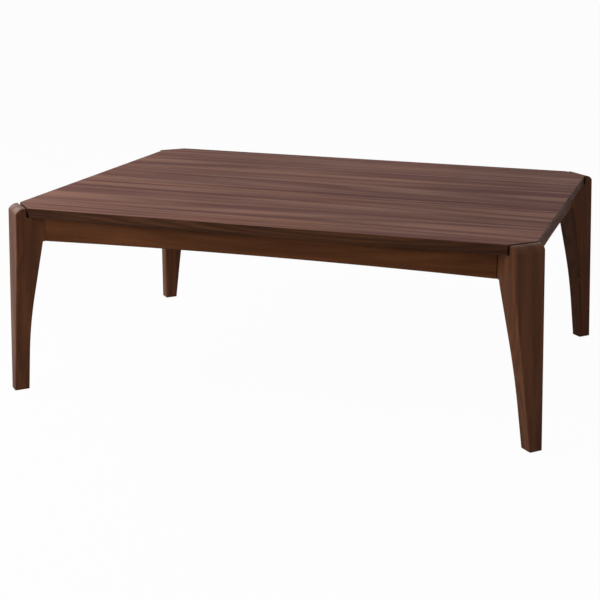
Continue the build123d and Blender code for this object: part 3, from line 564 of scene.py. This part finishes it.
@dataclass(frozen=True)
class MouldedFinish:
    """Moulded resin, ceramic or sleeving: a fine skin with clouded colour."""

    name: str
    colour: Colour
    cloud: Colour
    roughness: Range = (0.42, 0.6)
    skin: float = 1400.0
    clouds: float = 35.0
    relief: float = 0.25
    fleck: float = 0.0
    fleck_colour: Colour = (0.3, 0.28, 0.25)
    specular: float = 0.4
    cloud_range = (0.32, 0.68)
    fleck_scale = 0.5                     # of the skin's scale
    fleck_range = (0.1, 0.3)
    rubbed_roughness = -0.12
    wear_width = 0.5 * MM
    wear_patches = 220.0
    step_height = 0.1 * MM

    def material(self) -> bpy.types.Material:
        """Build the finish."""
        material, graph, shader = start_material(self.name)
        point = object_point(graph)
        clouds = graph.noise(point, self.clouds, detail=4.0, rough=0.6).outputs[0]
        colour = graph.blend(graph.spread(clouds, *self.cloud_range), self.colour, self.cloud)
        skin = graph.noise(point, self.skin, rough=0.6).outputs[0]
        if self.fleck > 0.0:
            feeds = {"Vector": point, "Scale": self.skin * self.fleck_scale}
            flecks = graph.node("ShaderNodeTexVoronoi", feeds).outputs[0]
            spots = graph.spread(flecks, *self.fleck_range, self.fleck, 0.0)
            colour = graph.blend(spots, colour, self.fleck_colour)
        rubbed = EDGE_WEAR.use(graph, point, Width=self.wear_width, Patches=self.wear_patches)
        rough = graph.spread(clouds, *MIDDLE, *self.roughness)
        rough = graph.maths("MULTIPLY_ADD", rubbed.outputs["Wear"], self.rubbed_roughness, rough)
        feed(graph, shader, colour, rough, graph.bump(skin, self.relief, self.step_height))
        shader.inputs["Specular IOR Level"].default_value = self.specular
        return material


@dataclass(frozen=True)
class QuartzFinish:
    """Milky quartz glass with draw lines along the tube."""

    name: str
    colour: Colour = (0.92, 0.90, 0.86)
    milk: Colour = (0.80, 0.77, 0.72)
    milk_scale: float = 120.0
    milk_range: Range = (0.35, 0.7)
    line_scale: float = 900.0
    line_squeeze: Place = (0.04, 1.0, 1.0)
    roughness: Range = (0.08, 0.28)
    relief: float = 0.08
    step_height: float = 0.1 * MM
    clearness: float = 0.85
    refraction: float = 1.46

    def material(self) -> bpy.types.Material:
        """Build the finish."""
        material, graph, shader = start_material(self.name)
        point = object_point(graph)
        drawn = graph.vector_maths("MULTIPLY", point, self.line_squeeze)
        lines = graph.noise(drawn, self.line_scale, rough=0.6).outputs[0]
        clouds = graph.noise(point, self.milk_scale, detail=3.0, rough=0.6).outputs[0]
        colour = graph.blend(graph.spread(clouds, *self.milk_range), self.colour, self.milk)
        rough = graph.spread(lines, *MIDDLE, *self.roughness)
        feed(graph, shader, colour, rough, graph.bump(lines, self.relief, self.step_height))
        shader.inputs["Transmission Weight"].default_value = self.clearness
        shader.inputs["IOR"].default_value = self.refraction
        return material


VENEER = WoodFinish(
    name="walnut_veneer",
    shades=(paint(98, 65, 59), paint(112, 77, 68), paint(122, 86, 74), paint(136, 97, 81)),
    streak=paint(80, 52, 52),
    flare=paint(160, 111, 80),
    streak_share=0.5,
    flare_share=0.5,
    bands=22.0,
    wander=0.024,
    stretch=22.0,
    roughness=(0.44, 0.54),
    specular=0.014,
    wear=0.1,
)
EDGE_STRIP = WoodFinish(
    name="edge_strip",
    shades=(paint(54, 32, 20), paint(62, 37, 23), paint(70, 43, 27), paint(80, 50, 32)),
    streak=paint(48, 28, 19),
    flare=paint(94, 60, 39),
    streak_share=0.4,
    flare_share=0.2,
    bands=60.0,
    wander=0.006,
    specular=0.05,
    wear=0.15,
)
STAINED_LEG = WoodFinish(
    name="stained_leg",
    shades=(paint(78, 46, 28), paint(86, 51, 31), paint(92, 55, 34), paint(100, 61, 38)),
    streak=paint(66, 38, 25),
    flare=paint(112, 71, 44),
    streak_share=0.35,
    flare_share=0.25,
    bands=45.0,
    lines=420.0,
    wander=0.008,
    stretch=18.0,
    roughness=(0.32, 0.44),
    specular=0.09,
)
STAINED_APRON = WoodFinish(
    name="stained_apron",
    shades=(paint(76, 43, 23), paint(84, 48, 26), paint(91, 53, 29), paint(100, 60, 34)),
    streak=paint(64, 36, 21),
    flare=paint(112, 70, 40),
    streak_share=0.3,
    flare_share=0.2,
    bands=40.0,
    lines=420.0,
    wander=0.014,
    stretch=14.0,
    specular=0.06,
    wear=0.15,
)
RAIL_WOOD = WoodFinish(
    name="rail_wood",
    shades=(paint(160, 122, 84), paint(184, 148, 106), paint(200, 166, 122), paint(214, 184, 142)),
    streak=paint(140, 100, 64),
    flare=paint(222, 196, 156),
    bands=70.0,
    lines=500.0,
    wander=0.01,
    roughness=(0.6, 0.75),
    relief=0.3,
    wear=0.15,
)
BACKING = WoodFinish(
    name="backing_sheet",
    shades=(paint(92, 68, 54), paint(104, 78, 62), paint(114, 86, 68), paint(124, 95, 76)),
    streak=paint(82, 60, 48),
    flare=paint(134, 104, 84),
    streak_share=0.3,
    flare_share=0.2,
    bands=40.0,
    roughness=(0.6, 0.7),
    specular=0.25,
    relief=0.06,
    wear=0.0,
)
BOARD = MouldedFinish(
    name="board_core", colour=paint(186, 158, 122), cloud=paint(170, 140, 104), roughness=(0.75, 0.9),
    skin=900.0, clouds=60.0, relief=0.5, fleck=0.5, fleck_colour=paint(130, 102, 70), specular=0.2,
)
ZINC = MetalFinish(
    name="zinc_steel", colour=(0.62, 0.62, 0.60), tint=(0.50, 0.52, 0.55), bare=(0.70, 0.69, 0.66),
)
HEATER_STEEL = MetalFinish(
    name="heater_steel", colour=(0.055, 0.052, 0.05), tint=(0.085, 0.08, 0.075), metallic=0.0,
    roughness=(0.38, 0.5), marks=18.0, scuffs=700.0, bare=(0.3, 0.29, 0.28), wear=0.35, relief=0.12,
)
REFLECTOR = MetalFinish(
    name="reflector_alloy", colour=(0.80, 0.80, 0.80), tint=(0.70, 0.70, 0.69), roughness=(0.16, 0.34),
    marks=14.0, scuffs=620.0, bare=(0.85, 0.85, 0.85), relief=0.1,
)
GUARD_WIRE = MetalFinish(
    name="guard_wire", colour=(0.085, 0.05, 0.036), tint=(0.12, 0.072, 0.05), metallic=0.0,
    roughness=(0.7, 0.9), marks=120.0, scuffs=1800.0, bare=(0.16, 0.1, 0.07), relief=0.4,
)
COIL_WIRE = MetalFinish(
    name="coil_wire", colour=(0.42, 0.38, 0.34), tint=(0.28, 0.24, 0.22), roughness=(0.35, 0.55),
    marks=200.0, scuffs=900.0, wear=0.1,
)
BRASS = MetalFinish(
    name="brass_contact", colour=(0.72, 0.56, 0.30), tint=(0.60, 0.44, 0.22), roughness=(0.22, 0.4),
    bare=(0.86, 0.70, 0.42), marks=150.0,
)
GLIDE = MouldedFinish(
    name="glide_plastic", colour=(0.05, 0.045, 0.04), cloud=(0.075, 0.068, 0.06), skin=2200.0,
)
SKIRT = MouldedFinish(
    name="skirt_resin", colour=(0.035, 0.03, 0.028), cloud=(0.05, 0.044, 0.04), skin=1600.0, relief=0.45,
)
SOCKET = MouldedFinish(
    name="socket_resin", colour=(0.03, 0.03, 0.03), cloud=(0.042, 0.042, 0.04), skin=2000.0,
    roughness=(0.35, 0.5),
)
CERAMIC = MouldedFinish(
    name="ceramic", colour=(0.86, 0.84, 0.78), cloud=(0.78, 0.75, 0.68), skin=1200.0, relief=0.3,
    roughness=(0.5, 0.7), fleck=0.35, fleck_colour=(0.62, 0.56, 0.46),
)
CONTROL = MouldedFinish(
    name="control_resin", colour=(0.16, 0.15, 0.14), cloud=(0.12, 0.11, 0.10), skin=1800.0,
    roughness=(0.3, 0.45),
)
SLEEVE = MouldedFinish(
    name="lead_sleeve", colour=(0.75, 0.73, 0.68), cloud=(0.66, 0.63, 0.57), skin=2600.0, relief=0.6,
    roughness=(0.55, 0.7),
)
QUARTZ = QuartzFinish(name="quartz")


def dress(nodes: tuple[str, ...], material: bpy.types.Material) -> None:
    """Give frame nodes a finish.

    Args:
        nodes: The nodes' names.
        material: The finish.
    """
    for name in nodes:
        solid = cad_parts[name]
        if not solid.material_slots:
            solid.data.materials.append(material)
        for holder in solid.material_slots:
            holder.material = material
        LOG.info("dressed %s in %s", name, material.name)


def dress_boards(finish: WoodFinish, boards: dict[str, tuple[Run, Place]]) -> None:
    """Give each board a wood, with its own run of the grain and place in the pattern."""
    for name, (run, offset) in boards.items():
        dress((name,), finish.material(name, Vector(run.value), offset))


# ---- modelling helpers ----------------------------------------------------------------------
class Bench:
    """Short calls for modelling by hand with Blender's operators."""

    @staticmethod
    def clear() -> None:
        """Leave edit mode and let go of everything that is selected."""
        if bpy.context.object is not None and bpy.context.object.mode != "OBJECT":
            bpy.ops.object.mode_set(mode="OBJECT")
        bpy.ops.object.select_all(action="DESELECT")

    @staticmethod
    def hold(piece: bpy.types.Object) -> None:
        """Make a piece the only one that operators act on."""
        Bench.clear()
        piece.select_set(True)
        bpy.context.view_layer.objects.active = piece

    @staticmethod
    def settle() -> None:
        """Apply the held piece's place, turn and scale."""
        bpy.ops.object.transform_apply(location=True, rotation=True, scale=True)

    @staticmethod
    def cylinder(sides: int, radius: float, height: float) -> bpy.types.Object:
        """Make a cylinder that stands on the origin.

        Args:
            sides: How many sides it has.
            radius: Its radius.
            height: Its height.

        Returns:
            The cylinder.
        """
        Bench.clear()
        middle = (0.0, 0.0, height / 2)
        bpy.ops.mesh.primitive_cylinder_add(vertices=sides, radius=radius, depth=height, location=middle)
        Bench.settle()
        return bpy.context.object

    @staticmethod
    def draw_up(rise: float, taper: float = 1.0) -> None:
        """Draw the picked faces out along +Z.

        Args:
            rise: How far.
            taper: Their size at the end, times that at the start.
        """
        bpy.ops.mesh.extrude_region_move(TRANSFORM_OT_translate={"value": (0.0, 0.0, rise)})
        if taper != 1.0:
            bpy.ops.transform.resize(value=(taper, taper, 1.0))

    @staticmethod
    def pick_faces(piece: bpy.types.Object, test: Callable[[bpy.types.MeshPolygon], bool]) -> None:
        """Select the faces of a piece that pass a test, and enter edit mode.

        Args:
            piece: The piece.
            test: Says whether a face is wanted.
        """
        Bench.hold(piece)
        bpy.ops.object.mode_set(mode="EDIT")
        bpy.ops.mesh.select_mode(type="FACE")
        bpy.ops.mesh.select_all(action="DESELECT")
        bpy.ops.object.mode_set(mode="OBJECT")
        for polygon in piece.data.polygons:
            polygon.select = test(polygon)
        bpy.ops.object.mode_set(mode="EDIT")

    @staticmethod
    def outward(piece: bpy.types.Object) -> None:
        """Merge a piece's doubles and turn its faces outwards."""
        Bench.hold(piece)
        bpy.ops.object.mode_set(mode="EDIT")
        bpy.ops.mesh.select_all(action="SELECT")
        bpy.ops.mesh.remove_doubles(threshold=WELD)
        bpy.ops.mesh.normals_make_consistent(inside=False)
        bpy.ops.object.mode_set(mode="OBJECT")

    @staticmethod
    def cut(piece: bpy.types.Object, cutter: bpy.types.Object) -> None:
        """Cut one piece out of another and throw the cutter away."""
        Bench.hold(piece)
        modifier = piece.modifiers.new("cut", "BOOLEAN")
        modifier.operation = "DIFFERENCE"
        modifier.solver = "EXACT"
        modifier.object = cutter
        bpy.ops.object.modifier_apply(modifier=modifier.name)
        bpy.data.objects.remove(cutter)

    @staticmethod
    def copies(pattern: bpy.types.Object, name: str, places: list[Matrix]) -> bpy.types.Object:
        """Set out copies of a pattern as one piece, and throw the pattern away.

        Args:
            pattern: What is copied.
            name: The piece's name.
            places: Where each copy goes.

        Returns:
            The piece.
        """
        made = []
        for place in places:
            mesh = pattern.data.copy()
            mesh.transform(place)
            copy = bpy.data.objects.new(name, mesh)
            bpy.context.scene.collection.objects.link(copy)
            made.append(copy)
        bpy.data.objects.remove(pattern)
        Bench.hold(made[0])
        for copy in made[1:]:
            copy.select_set(True)
        if len(made) > 1:
            bpy.ops.object.join()
        made[0].name = name
        return made[0]


@dataclass(frozen=True)
class Lie:
    """Where one long solid of the frame lies, from its wide end to its other end."""

    start: Vector
    run: Vector
    length: float

    def place(self) -> Matrix:
        """Return the transform from a pattern along +Z to this solid."""
        turn = Vector((0.0, 0.0, 1.0)).rotation_difference(self.run).to_matrix().to_4x4()
        return Matrix.Translation(self.start) @ turn


def corners_by_solid(node: str) -> list[list[Vector]]:
    """Sort a frame node's corners by the separate solid that they belong to.

    Args:
        node: The node's name.

    Returns:
        The corners of each solid.
    """
    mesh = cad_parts[node].data
    owner: dict[Place, Place] = {}

    def root(key: Place) -> Place:
        """Return the corner that stands for a whole solid."""
        while owner[key] != key:
            key = owner[key]
        return key

    for polygon in mesh.polygons:
        places = [mesh.vertices[index].co for index in polygon.vertices]
        keys = [tuple(round(part, WELD_DECIMALS) for part in place) for place in places]
        for key in keys:
            owner.setdefault(key, key)
        for key in keys[1:]:
            first, second = root(keys[0]), root(key)
            owner[max(first, second)] = min(first, second)
    solids: dict[Place, list[Vector]] = {}
    for key in owner:
        solids.setdefault(root(key), []).append(Vector(key))
    return list(solids.values())


def lies_of(node: str, axes: tuple[Place, ...]) -> list[Lie]:
    """Find where each long round solid of a node lies.

    Args:
        node: The node's name.
        axes: The directions that its solids may run in.

    Returns:
        One lie for each solid, which starts at its wider end.
    """
    found = []
    for corners in corners_by_solid(node):
        low = Vector([min(corner[i] for corner in corners) for i in range(3)])
        high = Vector([max(corner[i] for corner in corners) for i in range(3)])
        middle = (low + high) / 2

        def width(run: Vector) -> float:
            """Return the solid's widest reach from an axis through its middle."""
            return max((c - middle - run * run.dot(c - middle)).length for c in corners)

        run = min((Vector(axis).normalized() for axis in axes), key=width)
        reach = [run.dot(corner - middle) for corner in corners]
        wide = width(run)
        rim = [s for s, c in zip(reach, corners) if (c - middle - run * s).length > RIM_SHARE * wide]
        if sum(rim) > 0.0:
            run = -run
            reach = [-s for s in reach]
        found.append(Lie(middle + run * min(reach), run, max(reach) - min(reach)))
    return found


def fit_out(
    piece: bpy.types.Object, body: str, replaces: tuple[str, ...], material: bpy.types.Material,
) -> None:
    """Hand a finished piece over to the frame.

    Args:
        piece: The piece.
        body: The body it rides on.
        replaces: The frame's nodes that it stands for.
        material: Its finish.
    """
    Bench.hold(piece)
    bpy.ops.object.shade_smooth_by_angle(angle=SMOOTH_ANGLE)
    piece.data.materials.clear()
    piece.data.materials.append(material)
    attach(piece, body)
    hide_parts(*replaces)
    LOG.info("built %s with %d faces", piece.name, len(piece.data.polygons))


# ---- the table's sub-assemblies -------------------------------------------------------------
@dataclass
class Tabletop:
    """The loose board: core, face and backing sheets, and the strips round its edge."""

    figure_offset: Place = (0.31, 0.12, 0.4)

    def build(self) -> None:
        """Dress every sheet and strip."""
        lengthwise = Vector(Run.LENGTHWISE.value)
        dress(("tabletop_veneer",), VENEER.material("face", lengthwise, self.figure_offset))
        dress(("tabletop_backing_sheet",), BACKING.material("sheet", lengthwise))
        dress(("tabletop_core",), BOARD.material())
        strips = {
            "front": (Run.LENGTHWISE, (0.2, 0.0, 0.1)),
            "back": (Run.LENGTHWISE, (1.3, 0.4, 0.2)),
            "right": (Run.CROSSWISE, (0.7, 0.2, 0.5)),
            "left": (Run.CROSSWISE, (2.1, 0.9, 0.3)),
        }
        for side, (run, offset) in strips.items():
            dress((f"{side}_edge_strip",), EDGE_STRIP.material(side, Vector(run.value), offset))
        cornerwise = Vector(Run.CORNERWISE.value)
        corners = EDGE_STRIP.material("corners", cornerwise, (0.4, 0.6, 0.8), mirrored=True)
        dress(("corner_edge_strips",), corners)


@dataclass
class UnderFrame:
    """Four splayed legs and four arched aprons."""

    splay: float = 24.0 * MM
    leg_height: float = 388.0 * MM
    knot: Place = (0.5260, 0.3360, 0.1540)

    def lean(self, x_side: int, y_side: int) -> Vector:
        """Return the run of a leg's grain, foot to head: a side is -1 at the left or front, else 1."""
        inwards = -self.splay / self.leg_height / ROOT2
        return Vector((x_side * inwards, y_side * inwards, 1.0))

    def build(self) -> None:
        """Dress the legs, aprons and glides."""
        legs = {
            "front_left_leg": (-1, -1, (0.1, 0.3, 0.7)),
            "front_right_leg": (1, -1, (1.4, 0.8, 0.2)),
            "back_left_leg": (-1, 1, (2.2, 0.1, 1.6)),
            "back_right_leg": (1, 1, (3.5, 1.1, 0.4)),
        }
        for name, (x_side, y_side, offset) in legs.items():
            knot = self.knot if name == "back_right_leg" else None
            dress((name,), STAINED_LEG.material(name, self.lean(x_side, y_side), offset, knot=knot))
        aprons = {
            "front_apron": (Run.LENGTHWISE, (0.6, 0.2, 0.9)),
            "back_apron": (Run.LENGTHWISE, (4.0, 1.7, 0.3)),
            "left_apron": (Run.CROSSWISE, (1.9, 0.5, 2.4)),
            "right_apron": (Run.CROSSWISE, (5.2, 1.3, 1.1)),
        }
        dress_boards(STAINED_APRON, aprons)
        dress(("foot_glides",), GLIDE.material())


@dataclass
class Hardware:
    """Corner plates, hanger bolts and the screws that hold the under-frame together."""

    head_radius: float = 3.75 * MM
    head_height: float = 2.2 * MM
    head_round: float = 1.3 * MM
    head_steps: int = 4
    shank_radius: float = 1.45 * MM
    thread_radius: float = 1.88 * MM
    thread_pitch: float = 1.3 * MM
    point_length: float = 3.8 * MM
    point_taper: float = 0.15
    slot_length: float = 4.4 * MM
    slot_width: float = 0.8 * MM
    slot_depth: float = 1.2 * MM
    slot_taper: float = 0.7
    sides: int = 20

    def screw(self, length: float) -> bpy.types.Object:
        """Model a round-headed, cross-slotted screw along +Z, its head's face at the origin.

        Args:
            length: From the head's face to the point.

        Returns:
            The screw.
        """
        body = Bench.cylinder(self.sides, self.head_radius, self.head_height)
        Bench.pick_faces(body, lambda face: face.normal.z < -FACING)
        bpy.ops.mesh.bevel(offset=self.head_round, segments=self.head_steps, affect="EDGES")
        Bench.pick_faces(body, lambda face: face.normal.z > FACING)
        self.draw_shank(length)
        for turn in (0.0, math.pi / 2):
            bpy.ops.mesh.primitive_cube_add(size=1.0, rotation=(0.0, 0.0, turn))
            slot = bpy.context.object
            slot.scale = (self.slot_length, self.slot_width, 2 * self.slot_depth)
            Bench.settle()
            Bench.pick_faces(slot, lambda face: face.normal.z > FACING)
            bpy.ops.transform.resize(value=(self.slot_taper, self.slot_taper, 1.0))
            Bench.cut(body, slot)
        return body

    def draw_shank(self, length: float) -> None:
        """Draw the threaded shank out of the selected underside of the head, and taper its point.

        Args:
            length: From the head's face to the point.
        """
        bpy.ops.mesh.inset(thickness=self.head_radius - self.shank_radius)
        turns = int((length - self.head_height - self.point_length) / self.thread_pitch)
        wider = self.thread_radius / self.shank_radius
        for _ in range(turns):
            Bench.draw_up(self.thread_pitch / 2, wider)
            Bench.draw_up(self.thread_pitch / 2, 1.0 / wider)
        Bench.draw_up(length - self.head_height - turns * self.thread_pitch, self.point_taper)
        bpy.ops.object.mode_set(mode="OBJECT")

    def set_screws(self, name: str, node: str, axes: tuple[Place, ...], zinc: bpy.types.Material) -> None:
        """Put a screw in the place of each solid of a node.

        Args:
            name: The new piece's name.
            node: The node that it stands for.
            axes: The directions that its screws may run in.
            zinc: Their finish.
        """
        lies = lies_of(node, axes)
        pattern = self.screw(lies[0].length)
        piece = Bench.copies(pattern, name, [lie.place() for lie in lies])
        fit_out(piece, "frame", (node,), zinc)

    def build(self) -> None:
        """Dress the plates, bolts and nuts, and model the screws."""
        zinc = ZINC.material()
        dress(("corner_plates", "hanger_bolts", "bolt_washers", "bolt_nuts"), zinc)
        dress(("rail_brackets", "cross_rail_screws"), zinc)
        along_x, along_y, upwards = Run.LENGTHWISE.value, Run.CROSSWISE.value, Run.UPRIGHT.value
        self.set_screws("cross_slotted_plate_screws", "corner_plate_screws", (along_x, along_y), zinc)
        self.set_screws("cross_slotted_bracket_screws", "rail_bracket_screws", (along_y, upwards), zinc)
        self.set_screws("cross_slotted_heater_screws", "heater_screws", (upwards,), zinc)


@dataclass
class HeaterRails:
    """The two long rails and two short ones that carry the heater."""

    def build(self) -> None:
        """Dress the rails."""
        rails = {
            "left_heater_rail": (Run.CROSSWISE, (0.0, 0.3, 0.6)),
            "right_heater_rail": (Run.CROSSWISE, (1.7, 0.3, 0.6)),
            "front_heater_rail": (Run.LENGTHWISE, (0.9, 0.8, 0.1)),
            "back_heater_rail": (Run.LENGTHWISE, (1.9, 0.8, 0.1)),
        }
        dress_boards(RAIL_WOOD, rails)


@dataclass
class Heater:
    """The flat electric heater under the middle of the table."""

    coil_radius: float = 2.75 * MM
    coil_wire: float = 0.38 * MM
    coil_pitch: float = 1.6 * MM
    coil_steps: int = 14
    wire_sides: int = 6
    lead_radius: float = 0.92 * MM
    lead_length: float = 18.0 * MM
    collar_radius: float = 2.6 * MM
    collar_length: float = 3.0 * MM
    collar_sides: int = 20
    edge: float = 0.3 * MM
    tip_taper: float = 0.6

    def wind(self, length: float) -> bpy.types.Object:
        """Wind a coil along +Z from the origin.

        Args:
            length: Its length.

        Returns:
            The coil.
        """
        Bench.clear()
        start = (self.coil_radius, 0.0, self.coil_wire)
        upright = (math.pi / 2, 0.0, 0.0)
        bpy.ops.mesh.primitive_circle_add(
            vertices=self.wire_sides, radius=self.coil_wire, location=start, rotation=upright
        )
        coil = bpy.context.object
        Bench.settle()
        winding = coil.modifiers.new("winding", "SCREW")
        winding.axis = "Z"
        winding.screw_offset = self.coil_pitch
        winding.iterations = int((length - 2 * self.coil_wire) / self.coil_pitch)
        winding.steps = self.coil_steps
        winding.render_steps = self.coil_steps
        winding.use_smooth_shade = True
        bpy.ops.object.modifier_apply(modifier=winding.name)
        bpy.ops.object.mode_set(mode="EDIT")
        bpy.ops.mesh.select_all(action="SELECT")
        bpy.ops.mesh.fill_holes(sides=0)
        bpy.ops.object.mode_set(mode="OBJECT")
        Bench.outward(coil)
        return coil

    def lead_pin(self) -> bpy.types.Object:
        """Model a coil's end along +Z: a collar in the winding and the pin that leaves the tube."""
        pin = Bench.cylinder(self.collar_sides, self.collar_radius, self.collar_length)
        Bench.pick_faces(pin, lambda face: abs(face.normal.z) > FACING)
        bpy.ops.mesh.bevel(offset=self.edge, segments=2, affect="EDGES")
        Bench.pick_faces(pin, lambda face: face.normal.z > FACING)
        bpy.ops.mesh.inset(thickness=self.collar_radius - self.edge - self.lead_radius)
        Bench.draw_up(self.lead_length - self.collar_length - self.edge)
        Bench.draw_up(self.edge, self.tip_taper)
        bpy.ops.object.mode_set(mode="OBJECT")
        return pin

    def build_coils(self, wire: bpy.types.Material) -> None:
        """Wind the heating coils where the frame has their plain rods.

        Args:
            wire: Their finish.
        """
        lies = lies_of("heating_coils", (Run.LENGTHWISE.value,))
        wound = lies[0].length - 2 * self.lead_length
        flipped = Matrix.Rotation(math.pi, 4, "X")
        starts = []
        pins = []
        for lie in lies:
            near = lie.place() @ Matrix.Translation((0.0, 0.0, self.lead_length))
            far = lie.place() @ Matrix.Translation((0.0, 0.0, lie.length - self.lead_length))
            starts.append(near)
            pins.extend((far, near @ flipped))
        coils = Bench.copies(self.wind(wound), "wound_heating_coils", starts)
        fit_out(coils, "frame", ("heating_coils",), wire)
        ends = Bench.copies(self.lead_pin(), "heating_coil_ends", pins)
        fit_out(ends, "frame", ("heating_coils",), wire)

    def build(self) -> None:
        """Dress the heater's pieces and wind its coils."""
        self.build_coils(COIL_WIRE.material())
        finishes = (
            (HEATER_STEEL, ("heater_housing",)),
            (REFLECTOR, ("heater_reflector",)),
            (SKIRT, ("heater_skirt",)),
            (GUARD_WIRE, ("heater_guard",)),
            (QUARTZ, ("quartz_tubes",)),
            (CERAMIC, ("tube_holders",)),
            (SOCKET, ("inlet_socket",)),
            (BRASS, ("inlet_pins", "terminal_screws")),
            (CONTROL, ("terminal_block", "thermostat", "thermal_fuse")),
            (SLEEVE, ("internal_leads",)),
        )
        for finish, nodes in finishes:
            dress(nodes, finish.material())


# ---- floor, light and camera ----------------------------------------------------------------
@dataclass(frozen=True)
class Lamp:
    """A soft square lamp that faces the table."""

    name: str
    place: Place
    aim: Place
    side: float
    power: float
    colour: Colour = WHITE

    def hang(self) -> None:
        """Put the lamp in the scene."""
        data = bpy.data.lights.new(self.name, "AREA")
        data.shape = "SQUARE"
        data.size = self.side
        data.energy = self.power
        data.color = self.colour
        lamp = bpy.data.objects.new(self.name, data)
        lamp.location = self.place
        aim = Vector(self.aim) - Vector(self.place)
        lamp.rotation_euler = aim.to_track_quat("-Z", "Y").to_euler()
        bpy.context.scene.collection.objects.link(lamp)


@dataclass
class Studio:
    """A plain pale floor, soft lamps, a white surround and the camera."""

    floor_side: float = 90.0
    floor_colour: Colour = (0.62, 0.615, 0.61)
    floor_cloud: Colour = (0.6, 0.6, 0.6)
    cloud_scale: float = 1.5
    floor_veil: float = 0.97
    floor_gloss: float = 0.2
    surround: float = 0.15
    camera_place: Place = (0.8413, -2.4830, 0.9118)
    azimuth: float = 16.262
    elevation: float = 18.712
    roll: float = 0.5091
    lens: float = 74.114
    film: float = 36.0
    sight: float = 200.0
    shift: tuple[float, float] = (-0.1167, 0.0833)
    lamps: tuple[Lamp, ...] = (
        Lamp("high_left_lamp", (-1.8, -1.1, 2.1), (0.0, 0.0, 0.3), 1.5, 54.0),
        Lamp("low_front_lamp", (-1.4, -2.4, 1.2), (0.0, 0.0, 0.3), 1.2, 25.0),
        Lamp("back_left_lamp", (-3.0, 1.6, 1.2), (0.0, 0.0, 0.3), 1.2, 10.0, (0.92, 0.90, 1.0)),
        Lamp("right_lamp", (3.0, -1.1, 1.0), (0.3, -0.2, 0.3), 0.45, 16.0, (0.95, 0.92, 1.0)),
    )

    @staticmethod
    def seen(graph: Graph, gloss_share: float = 1.0) -> Socket:
        """Return 1 for a ray from the camera or through glass, and a share of 1 for one from a gloss.

        Args:
            graph: The graph of the floor or the surround.
            gloss_share: What a gloss sees of it.

        Returns:
            The result's socket.
        """
        path = graph.node("ShaderNodeLightPath", {})
        gloss = graph.maths("MULTIPLY", path.outputs["Is Glossy Ray"], gloss_share)
        seen = graph.maths("MAXIMUM", path.outputs["Is Camera Ray"], gloss)
        return graph.maths("MAXIMUM", seen, path.outputs["Is Transmission Ray"])

    def lay_floor(self) -> None:
        """Lay the floor, which keeps the table's shadow under a white veil."""
        Bench.clear()
        bpy.ops.mesh.primitive_plane_add(size=self.floor_side)
        floor = bpy.context.object
        floor.name = "floor"
        material = bpy.data.materials.new("floor")
        graph = empty_graph(material)
        cloud = graph.noise(object_point(graph), self.cloud_scale).outputs[0]
        colour = graph.blend(graph.spread(cloud, *MIDDLE), self.floor_colour, self.floor_cloud)
        matt = graph.node("ShaderNodeBsdfDiffuse", {"Color": colour}).outputs[0]
        veil = graph.node("ShaderNodeEmission", {"Color": WHITE, "Strength": 1.0}).outputs[0]
        share = graph.maths("MULTIPLY", self.seen(graph, self.floor_gloss), self.floor_veil)
        mixed = graph.node("ShaderNodeMixShader", {0: share, 1: matt, 2: veil}).outputs[0]
        graph.node("ShaderNodeOutputMaterial", {"Surface": mixed})
        floor.data.materials.append(material)

    def light(self) -> None:
        """Hang the lamps and light the surround."""
        for lamp in self.lamps:
            lamp.hang()
        world = bpy.data.worlds.new("surround")
        graph = empty_graph(world)
        strength = graph.maths("MULTIPLY_ADD", self.seen(graph), 1.0 - self.surround, self.surround)
        back = graph.node("ShaderNodeBackground", {"Color": WHITE, "Strength": strength})
        graph.node("ShaderNodeOutputWorld", {"Surface": back.outputs[0]})
        bpy.context.scene.world = world
        bpy.context.scene.view_settings.view_transform = "Standard"

    def stand_camera(self) -> None:
        """Stand the camera at the table's front right."""
        data = bpy.data.cameras.new("camera")
        data.sensor_width = self.film
        data.lens = self.lens
        data.shift_x, data.shift_y = self.shift
        data.clip_end = self.sight
        camera = bpy.data.objects.new("camera", data)
        camera.location = self.camera_place
        tilt = math.radians(90.0 - self.elevation)
        level = Euler((tilt, 0.0, math.radians(self.azimuth)), "XYZ").to_matrix()
        rolled = level @ Matrix.Rotation(math.radians(self.roll), 3, "Z")
        camera.rotation_euler = rolled.to_euler("XYZ")
        bpy.context.scene.collection.objects.link(camera)
        bpy.context.scene.camera = camera

    def build(self) -> None:
        """Set out the studio."""
        self.lay_floor()
        self.light()
        self.stand_camera()
        LOG.info("set out the floor, %d lamps and the camera", len(self.lamps))


def main() -> None:
    """Build and dress the table, then set out the studio."""
    logging.basicConfig(level=logging.INFO, format="%(name)s: %(message)s")
    for assembly in (Tabletop(), UnderFrame(), Hardware(), HeaterRails(), Heater(), Studio()):
        assembly.build()


if __name__ == "__main__":
    main()
